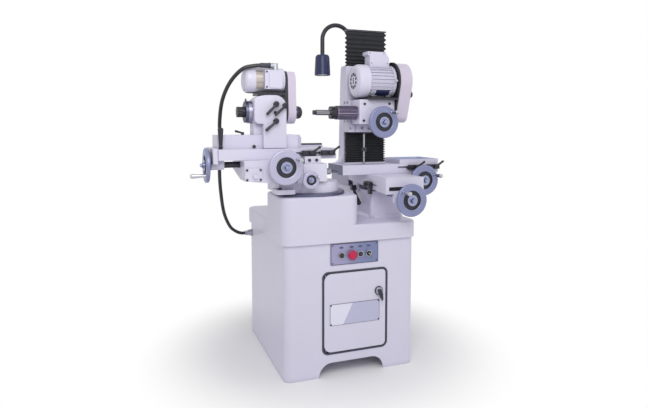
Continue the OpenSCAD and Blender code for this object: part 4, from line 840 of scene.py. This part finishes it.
def flat_plate(name, width, height, thickness, corner, lip=0.0):
    """Flat pattern in the XY plane, its corners rounded, with a raised lip of that width round its face."""
    piece = add_sheet(name, (width, height))
    bpy.ops.mesh.bevel(offset=corner, segments=4, affect="VERTICES")
    draw_up(thickness)
    if lip:
        bpy.ops.mesh.inset(thickness=lip)
        draw_up(-thickness / 3)
    close_edit()
    soften(piece, thickness / 5)
    return piece


def rolled_plate(name, span_x, axis, radius, angles, thickness):
    """Plate rolled round a line along X, between two angles below the front."""
    low, high = (math.radians(a) for a in angles)
    start = (sum(span_x) / 2, axis[1] - radius * math.cos(low), axis[2] - radius * math.sin(low))
    piece = add_sheet(name, (span_x[1] - span_x[0], 2 * radius), start)
    pick("VERT", lambda v: v.co.y > start[1])
    bpy.ops.mesh.delete(type="VERT")
    bpy.ops.mesh.select_all(action="SELECT")
    bpy.ops.transform.translate(value=(0, radius, 0))
    bpy.ops.mesh.spin(steps=12, angle=low - high, center=axis, axis=(1, 0, 0))
    end_edit()
    apply_modifier(piece, "SOLIDIFY", thickness=thickness, offset=0)
    start_edit()
    close_edit()
    soften(piece, thickness / 5, 60)
    return piece


class GRINDER_OT_nuts(bpy.types.Operator):
    """Washer, nut and stud end on the hub of every handwheel"""
    bl_idname = "grinder.nuts"
    bl_label = "Hub nuts"

    def execute(self, context):
        dark = make_material("washer_steel", "dark_steel")
        steel = make_material("nut_steel", "hub_steel")
        washer = turned("washer", 28, ((0, 0.0112), (0.0014, 0.0112), (0.0020, 0.0105)))
        nut = turned("nut", 6, ((0.0018, 0.0098), (0.0078, 0.0098), (0.0092, 0.0086)))
        stud = turned("stud", 20, ((0.0088, 0.0050), (0.0112, 0.0050), (0.0120, 0.0042)))
        for wheel in HANDWHEELS:
            turn = FACE_LEFT if wheel.axis == "X" else FACE_FRONT
            place = Vector(wheel.centre) + turn.to_3x3() @ Vector((0, 0, wheel.hub))
            for pattern, finish in ((washer, dark), (nut, steel), (stud, steel)):
                piece = copy_to(pattern, f"{wheel.name}_{pattern.name}", place, turn, wheel.nut)
                dress(piece, finish, wheel.body)
        discard(washer, nut, stud)
        return {"FINISHED"}


DOOR_FACE = -0.341
DOOR_PLATE_X = (-0.106, 0.134)
DOOR_PLATE_Z = (0.229, 0.325)
DOOR_PLATE_CORNER = 0.004
DOOR_PLATE_LIP = 0.0022
DOOR_PLATE_SHADOW_BAND = 0.0018
DOOR_PLATE_SPLIT = ((1, 0, -0.492), -0.1562)
HEAD_PLATE_R = 0.0762
HEAD_PLATE_FIELD = (0.150, 0.219)
WORK_PLATE_R = 0.0569
WORK_PLATE_RULES = (1.272, 1.291, 1.309, 1.326, 1.339)
WORK_PLATE_RULE = 0.0016
RIVET_INSET = 0.005
RIVET_SMALL = 0.55


class GRINDER_OT_plates(bpy.types.Operator):
    """Blank plates on the door and on the two motors, with their rivets"""
    bl_idname = "grinder.plates"
    bl_label = "Plates"

    def execute(self, context):
        thickness = context.scene.grinder_sizes.plate_thickness
        rivet = turned("rivet", 18, ((0, 0.0036), (0.0006, 0.0036), (0.0015, 0.0028), (0.0020, 0.0013)))
        dark = make_material("rivet_black", "oxide_black")
        bright = make_material("rivet_bright", "zinc")

        (x0, x1), (z0, z1) = DOOR_PLATE_X, DOOR_PLATE_Z
        door = flat_plate("door_plate", x1 - x0, z1 - z0, thickness, DOOR_PLATE_CORNER, DOOR_PLATE_LIP)
        set_at(door, ((x0 + x1) / 2, DOOR_FACE, (z0 + z1) / 2), FACE_FRONT)
        shadow_band = DOOR_PLATE_SHADOW_BAND
        door_look = make_material("door_plate_finish", "plate_pale", [
            (beyond(*DOOR_PLATE_SPLIT), "plate_lavender"),
            # Painted shadow: a dark band along the plate's lip
            (between("X", high=x0 + shadow_band), "plate_rule_and_rim_shadow"), (between("X", x1 - shadow_band), "plate_rule_and_rim_shadow"),
            (between("Z", high=z0 + shadow_band), "plate_rule_and_rim_shadow"), (between("Z", z1 - shadow_band), "plate_rule_and_rim_shadow")])
        dress(door, door_look, "door")
        front = DOOR_FACE - thickness + SINK
        spots = [(x, z) for x in (x0 + RIVET_INSET, x1 - RIVET_INSET)
                 for z in (z0 + RIVET_INSET, z1 - RIVET_INSET)]
        rivets = [(f"door_rivet_{i + 1}", "door", dark, FACE_FRONT, 1.0, (x, front, z))
                  for i, (x, z) in enumerate(spots)]

        head_look = ("plate_pale", [(between("X", *HEAD_PLATE_FIELD), "plate_navy")])
        work_look = ("plate_cream", [
            (between("Z", z, z + WORK_PLATE_RULE), "plate_rule_and_rim_shadow") for z in WORK_PLATE_RULES])
        motors = (
            ("head", "grinding_head", HEAD_MOTOR_AXIS, HEAD_PLATE_R, (0.127, 0.236), (36, 62), head_look,
             (0.132, 0.231), (40, 58)),
            ("work", "work_table", WORK_MOTOR_AXIS, WORK_PLATE_R, (-0.405, -0.375), (-44, 44), work_look,
             (-0.390,), (-40, 40)),
        )
        for motor, body, axis, radius, span, angles, (base, accents), columns, tips in motors:
            plate = rolled_plate(f"{motor}_motor_plate", span, axis, radius, angles, thickness)
            dress(plate, make_material(f"{motor}_plate_finish", base, accents), body)
            reach = radius + thickness / 2 - SINK
            for i, (x, tip) in enumerate((x, tip) for x in columns for tip in tips):
                angle = math.radians(tip)
                place = (x, axis[1] - reach * math.cos(angle), axis[2] - reach * math.sin(angle))
                rivets.append((f"{motor}_rivet_{i + 1}", body, bright, turn_about("X", tip) @ FACE_FRONT,
                               RIVET_SMALL, place))

        for name, body, finish, turn, size, place in rivets:
            piece = copy_to(rivet, name, place, turn, size)
            dress(piece, finish, body)
        discard(rivet)
        return {"FINISHED"}


DOOR_EDGE = 0.164
DOOR_ENDS = (0.110, 0.462)
CORNER_SIZE = 0.036
CORNER_R = 0.0185
CORNER_T = 0.0025


class GRINDER_OT_corners(bpy.types.Operator):
    """Fillings that bring the door's two free corners up to the gasket. The hinged ones need their gap"""
    bl_idname = "grinder.corners"
    bl_label = "Door corners"

    def execute(self, context):
        enamel = make_material("corner_enamel", "enamel")
        for rise, end in enumerate(DOOR_ENDS):
            piece = add_sheet(f"door_corner_{rise + 1}", (CORNER_SIZE, CORNER_SIZE))
            pick("VERT", lambda v: v.co.x > 0 and (v.co.y > 0) == bool(rise))
            bpy.ops.mesh.bevel(offset=CORNER_R, segments=10, affect="VERTICES")
            bpy.ops.mesh.select_all(action="SELECT")
            draw_up(CORNER_T)
            close_edit()
            set_at(piece, (DOOR_EDGE - 0.5 * CORNER_SIZE, DOOR_FACE + SINK + CORNER_T,
                           end + (0.5 - rise) * CORNER_SIZE), FACE_FRONT)
            dress(piece, enamel, "door")
        return {"FINISHED"}


PANEL_CENTRE = (0.011, 0.547)
PANEL_FACE = -0.343
PANEL_SCREWS = (0.105, 0.039)
BUTTON_X = (-0.053, -0.005, 0.037, 0.077)
BUTTON_Z = 0.542
LEGEND_RISE = 0.034
SELECTOR_TIP = -0.3632
SELECTOR_TURN = 35


class GRINDER_OT_panel_trim(bpy.types.Operator):
    """Blank legend plates on the control plate, and the selector's white mark"""
    bl_idname = "grinder.panel_trim"
    bl_label = "Control plate trim"

    def execute(self, context):
        legend = flat_plate("legend", width=0.017, height=0.008, thickness=0.0008, corner=0.0012)
        slate = make_material("legend_slate", "panel_edge")
        for i, x in enumerate(BUTTON_X):
            place = (x, PANEL_FACE + SEAT, BUTTON_Z + LEGEND_RISE)
            dress(copy_to(legend, f"legend_{i + 1}", place, FACE_FRONT), slate, "base")
        discard(legend)

        mark = flat_plate("selector_mark", width=0.018, height=0.0026, thickness=0.0008, corner=0.0006)
        set_at(mark, (BUTTON_X[3], SELECTOR_TIP, BUTTON_Z), turn_about("Y", SELECTOR_TURN) @ FACE_FRONT)
        dress(mark, make_material("selector_white", "mark_white"), "selector")
        return {"FINISHED"}


WORK_BOX_FACE = -0.2685
WORK_BOX_Z = 1.305
WORK_BOX_LID_X = -0.3245
WORK_BOX_SCREWS = (-0.3635, 0.032)
HEAD_BOX_FACE = -0.228
HEAD_BOX_SCREWS = ((0.141, 1.398), (0.222, 1.398), (0.131, 1.442), (0.203, 1.442))
MOTOR_EAR = (0.2380, -0.2755, 1.3150)


class GRINDER_OT_screws(bpy.types.Operator):
    """Screws of the control plate and the terminal boxes, the small box's lid and the head motor's ear"""
    bl_idname = "grinder.screws"
    bl_label = "Screws"

    def execute(self, context):
        screw = turned("screw", 20, (
            (0, 0.0045), (0.0020, 0.0045), (0.0031, 0.0036), (0.0032, 0.0022), (0.0016, 0.0019)))
        dark = make_material("screw_black", "oxide_black")
        pale = make_material("screw_zinc", "zinc")
        panel = [(PANEL_CENTRE[0] + i * PANEL_SCREWS[0], PANEL_CENTRE[1] + k * PANEL_SCREWS[1])
                 for i in (-1, 1) for k in (-1, 1)]
        work_box = [(WORK_BOX_SCREWS[0], WORK_BOX_Z + k * WORK_BOX_SCREWS[1]) for k in (-1, 1)]
        sets = (
            ("panel", "base", 0.6, dark, "black_steel", PANEL_FACE, panel),
            ("work_box", "work_table", 0.85, dark, "black_steel", WORK_BOX_FACE, work_box),
            ("head_box", "grinding_head", 0.7, pale, "zinc_plate", HEAD_BOX_FACE, HEAD_BOX_SCREWS),
        )
        for group, body, size, finish, slot, face, spots in sets:
            for i, (x, z) in enumerate(spots):
                piece = copy_to(screw, f"{group}_screw_{i + 1}", (x, face + SEAT, z), FACE_FRONT, size)
                dress(piece, finish, body)
        discard(screw)

        ear = turned("motor_ear", 24, ((0, 0.0065), (0.0100, 0.0065), (0.0140, 0.0045), (0.0155, 0.0020)))
        set_at(ear, MOTOR_EAR, FACE_RIGHT)
        lid = flat_plate("work_box_lid", width=0.058, height=0.072, thickness=0.004, corner=0.011)
        set_at(lid, (WORK_BOX_LID_X, WORK_BOX_FACE + SINK, WORK_BOX_Z), FACE_FRONT)
        enamel = make_material("trim_enamel", "enamel")
        dress(lid, enamel, "work_table")
        dress(ear, enamel, "grinding_head")
        return {"FINISHED"}


CHEEK_X = (-0.4182, -0.3300)
CHEEK_Y = (-0.2702, -0.1600)
CHEEK_Z = (1.1170, 1.2392)
CHEEK_SHOULDER = (0.064, 0.022)
CHEEK_FOOT = 0.022
CHEEK_EDGES = (0.005, 0.024)


class GRINDER_OT_cheek(bpy.types.Operator):
    """Cast cheek that carries the work head's front face over to its spindle barrel"""
    bl_idname = "grinder.cheek"
    bl_label = "Work head cheek"

    def execute(self, context):
        (x0, x1), (z0, z1) = CHEEK_X, CHEEK_Z
        cheek = add_block("work_head_cheek", CHEEK_X, CHEEK_Y, CHEEK_Z)
        stretch = CHEEK_SHOULDER[0] / CHEEK_SHOULDER[1]
        bpy.ops.transform.resize(value=(1, 1, stretch), center_override=(0, 0, z1))
        pick_edges(lambda co: near(co.x, x0) and near(co.z, z1))
        bpy.ops.mesh.bevel(offset=CHEEK_SHOULDER[0], segments=12, affect="EDGES")
        bpy.ops.mesh.select_all(action="SELECT")
        bpy.ops.transform.resize(value=(1, 1, 1 / stretch), center_override=(0, 0, z1))
        pick_edges(lambda co: near(co.x, x0) and near(co.z, z0))
        bpy.ops.mesh.bevel(offset=CHEEK_FOOT, segments=6, affect="EDGES")
        for side, radius in zip(CHEEK_Y, CHEEK_EDGES):
            pick("EDGE", lambda e: all(near(v.co.y, side) and v.co.x < x1 - NEAR for v in e.verts)
                 or all(near(v.co.y, side) and near(v.co.z, z1) for v in e.verts))
            bpy.ops.mesh.bevel(offset=radius, segments=5, affect="EDGES")
        close_edit(40)
        dress(cheek, make_material("cheek_enamel", "enamel"), "work_table")
        return {"FINISHED"}


WAY_COVER_X = (0.1400, 0.3300)
WAY_COVER_Y = (0.0398, 0.2850)
WAY_COVER_Z = (0.8427, 0.8786)
WAY_COVER_WALL = 0.0062
WAY_COVER_LIP = 0.040
WAY_COVER_EDGE = 0.0015


class GRINDER_OT_way_cover(bpy.types.Operator):
    """Folded cover behind the right saddle, over the ways of the pedestal"""
    bl_idname = "grinder.way_cover"
    bl_label = "Way cover"

    def execute(self, context):
        x0, x1 = WAY_COVER_X
        cover = add_block("way_cover", WAY_COVER_X, WAY_COVER_Y, WAY_COVER_Z)

        def underneath(face):
            return near(face.calc_center_median().z, WAY_COVER_Z[0])

        def at_side(face):
            return abs(face.calc_center_median().x - (x0 + x1) / 2) > (x1 - x0) / 2 - WAY_COVER_WALL

        pick("FACE", underneath)
        bpy.ops.mesh.inset(thickness=WAY_COVER_WALL)
        pick("FACE", lambda face: underneath(face) and at_side(face))
        draw_up(-WAY_COVER_LIP)
        close_edit()
        soften(cover, WAY_COVER_EDGE)
        dress(cover, make_material("way_cover_sheet", "cover_grey"), "right_slide")
        return {"FINISHED"}


HEAD_FLANGE = ((0.0675, -0.150, 1.0963), (0.1237, -0.166, 1.0972), (0.1587, -0.166, 1.0930))
HEAD_GIB_X = 0.060
HEAD_GIB_Y = (-0.100, -0.136)
HEAD_GIB_Z = (1.132, 1.220)
GUARD_KNOB = (0.322, -0.220, 1.257)
SLEEVE_END = (-0.345, -0.252, 1.364)


class GRINDER_OT_bolts(bpy.types.Operator):
    """Flange bolts and gib screws of the grinding head, its guard's knob, and the conduit's end sleeve"""
    bl_idname = "grinder.bolts"
    bl_label = "Bolts and knob"

    def execute(self, context):
        bolt = turned("bolt", 6, ((-0.0004, 0.0066), (0.0042, 0.0066), (0.0052, 0.0056)))
        zinc = make_material("bolt_zinc", "zinc")
        gibs = [(HEAD_GIB_X, y, z) for z in HEAD_GIB_Z for y in HEAD_GIB_Y]
        for kind, turn, places in (("flange_bolt", FACE_FRONT, HEAD_FLANGE), ("gib_screw", FACE_LEFT, gibs)):
            for i, place in enumerate(places):
                dress(copy_to(bolt, f"{kind}_{i + 1}", place, turn), zinc, "grinding_head")
        discard(bolt)

        knob = turned("guard_knob", 32, (
            (0.0125, 0.0090), (0.0150, 0.0130), (0.0200, 0.0160), (0.0270, 0.0160), (0.0320, 0.0135),
            (0.0345, 0.0085), (0.0352, 0.0030)))
        set_at(knob, GUARD_KNOB, FACE_RIGHT)
        sleeve = turned("conduit_sleeve", 32, (
            (-0.0002, 0.0122), (0.0060, 0.0122), (0.0072, 0.0108), (0.0390, 0.0104), (0.0430, 0.0092)))
        set_at(sleeve, SLEEVE_END, FACE_LEFT)
        dress(knob, make_material("guard_knob_finish", "black_plastic"), "grinding_head")
        dress(sleeve, make_material("conduit_sleeve_finish", "gasket_slate"), "work_table")
        return {"FINISHED"}


LAMP_MOUTH = (-0.0425, -0.070, 1.3545)


class GRINDER_OT_lens(bpy.types.Operator):
    """Frosted lens in the mouth of the lamp"""
    bl_idname = "grinder.lens"
    bl_label = "Lamp lens"

    def execute(self, context):
        lens = turned("lamp_lens", 40, (
            (0, 0.0335), (0.0010, 0.0335), (0.0026, 0.0290), (0.0040, 0.0200), (0.0047, 0.0100), (0.0050, 0.0030)))
        set_at(lens, LAMP_MOUTH, FACE_DOWN)
        dress(lens, make_material("lamp_lens_finish", "lens_white"), "column_table")
        return {"FINISHED"}


# Finishes of the CAD nodes

class GRINDER_OT_finishes(bpy.types.Operator):
    """Paint, steel, rubber and plastic on every part of the frame"""
    bl_idname = "grinder.finishes"
    bl_label = "Finishes"

    def execute(self, context):
        mixed = mixed_finishes()
        shared = {}
        for node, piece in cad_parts.items():
            if node in mixed:
                coat(piece, make_material(f"{node}_finish", *mixed[node]))
            elif node in PLAIN:
                finish = PLAIN[node]
                if finish not in shared:
                    shared[finish] = make_material(finish, finish)
                coat(piece, shared[finish])
            elif not piece.hide_render:
                raise RuntimeError(f"{node} has no finish")
        return {"FINISHED"}


# Stage

CAMERA_PLACE = (-0.915, -2.476, 1.110)
CAMERA_HEADING = math.radians(20.1)
CAMERA_PITCH = math.radians(-4.13)
PHOTO_WIDTH = 648
FOCAL_PIXELS = 532
PRINCIPAL_RISE = 40
FLOOR_SIZE = 40
FLOOR_FADE = (0.40, 0.95)
LIT_POINT = (0.0, -0.15, 0.85)
KEY_PLACE = (-0.6, -1.9, 2.1)
KEY_SIZE = 1.2
FILL_PLACE = (3.2, -1.6, 2.0)
FILL_SIZE = 2.0


def add_lamp(name, place, power, size):
    """Soft square lamp, turned towards the machine."""
    light = bpy.data.lights.new(name, "AREA")
    light.energy = power
    light.size = size
    lamp = bpy.data.objects.new(name, light)
    lamp.location = place
    lamp.rotation_euler = (Vector(LIT_POINT) - lamp.location).to_track_quat("-Z", "Y").to_euler()
    bpy.context.scene.collection.objects.link(lamp)


def seen_share(tree):
    """1 for rays from the camera, from gloss and through glass."""
    path = add_node(tree, "ShaderNodeLightPath")
    seen = math_node(tree, "MAXIMUM", path.outputs["Is Camera Ray"], path.outputs["Is Glossy Ray"])
    return math_node(tree, "MAXIMUM", seen, path.outputs["Is Transmission Ray"])


def floor_material(colour):
    """Pale floor that holds the shadow near the machine and fades to white further off."""
    material = bpy.data.materials.new("floor_pale")
    tree = empty_tree(material)
    place = add_node(tree, "ShaderNodeTexCoord").outputs["Object"]
    fade = map_range(tree, vector_node(tree, "LENGTH", place), *FLOOR_FADE, kind="SMOOTHSTEP")
    share = math_node(tree, "MULTIPLY", fade, seen_share(tree))
    matt = add_node(tree, "ShaderNodeBsdfDiffuse", None, {"Color": (*colour, 1)}).outputs[0]
    white = add_node(tree, "ShaderNodeEmission", None, {"Color": (1, 1, 1, 1), "Strength": 1.0}).outputs[0]
    mixed = add_node(tree, "ShaderNodeMixShader", None, {0: share, 1: matt, 2: white}).outputs[0]
    add_node(tree, "ShaderNodeOutputMaterial", None, {"Surface": mixed})
    return material


class GRINDER_OT_stage(bpy.types.Operator):
    """Camera, floor, surround and lamps"""
    bl_idname = "grinder.stage"
    bl_label = "Stage"

    def execute(self, context):
        scene = context.scene
        stage = scene.grinder_stage
        scene.view_settings.view_transform = "Standard"

        lens = bpy.data.cameras.new("camera")
        lens.sensor_width = 36
        lens.sensor_fit = "HORIZONTAL"
        lens.lens = FOCAL_PIXELS / PHOTO_WIDTH * lens.sensor_width
        lens.shift_y = -PRINCIPAL_RISE / PHOTO_WIDTH
        camera = bpy.data.objects.new("camera", lens)
        camera.location = CAMERA_PLACE
        camera.rotation_euler = (math.radians(90) + CAMERA_PITCH, 0, -CAMERA_HEADING)
        scene.collection.objects.link(camera)
        scene.camera = camera

        deselect()
        bpy.ops.mesh.primitive_plane_add(size=FLOOR_SIZE, location=(0, 0, 0))
        floor = name_piece("floor")
        coat(floor, floor_material(tuple(stage.floor)))

        world = bpy.data.worlds.new("surround")
        tree = empty_tree(world)
        strength = mix_value(tree, seen_share(tree), stage.sky, 1.0)
        light = add_node(tree, "ShaderNodeBackground", None, {"Color": (1, 1, 1, 1), "Strength": strength})
        add_node(tree, "ShaderNodeOutputWorld", None, {"Surface": light.outputs[0]})
        scene.world = world

        add_lamp("key_lamp", KEY_PLACE, stage.key_power, KEY_SIZE)
        add_lamp("fill_lamp", FILL_PLACE, stage.fill_power, FILL_SIZE)
        return {"FINISHED"}


# Panel and registration

class GRINDER_PT_panel(bpy.types.Panel):
    """Grinder tools in the sidebar"""
    bl_label = "Tool and Cutter Grinder"
    bl_idname = "GRINDER_PT_panel"
    bl_space_type = "VIEW_3D"
    bl_region_type = "UI"
    bl_category = "Grinder"

    def draw(self, context):
        layout = self.layout
        scene = context.scene
        for group in (scene.grinder_sizes, scene.grinder_finishes, scene.grinder_stage):
            box = layout.box()
            for name in group.__annotations__:
                box.prop(group, name)
        for step in STEPS:
            layout.operator(step.bl_idname)


STEPS = (
    GRINDER_OT_stage, GRINDER_OT_conduit, GRINDER_OT_bellows, GRINDER_OT_nuts, GRINDER_OT_plates,
    GRINDER_OT_corners, GRINDER_OT_panel_trim, GRINDER_OT_screws, GRINDER_OT_cheek, GRINDER_OT_way_cover,
    GRINDER_OT_bolts, GRINDER_OT_lens, GRINDER_OT_finishes,
)
GROUPS = {
    "grinder_sizes": GrinderSizes, "grinder_finishes": GrinderFinishes, "grinder_stage": GrinderStage,
}


def register():
    """Registers the classes and their settings."""
    for group in (*GROUPS.values(), *STEPS, GRINDER_PT_panel):
        bpy.utils.register_class(group)
    for name, group in GROUPS.items():
        setattr(bpy.types.Scene, name, bpy.props.PointerProperty(type=group))


def unregister():
    """Takes the classes and their settings out again."""
    for name in GROUPS:
        delattr(bpy.types.Scene, name)
    for group in (GRINDER_PT_panel, *reversed(STEPS), *GROUPS.values()):
        bpy.utils.unregister_class(group)


def main():
    """Dresses the frame in order."""
    register()
    for step in STEPS:
        group, name = step.bl_idname.split(".")
        getattr(getattr(bpy.ops, group), name)()


if __name__ == "__main__":
    main()
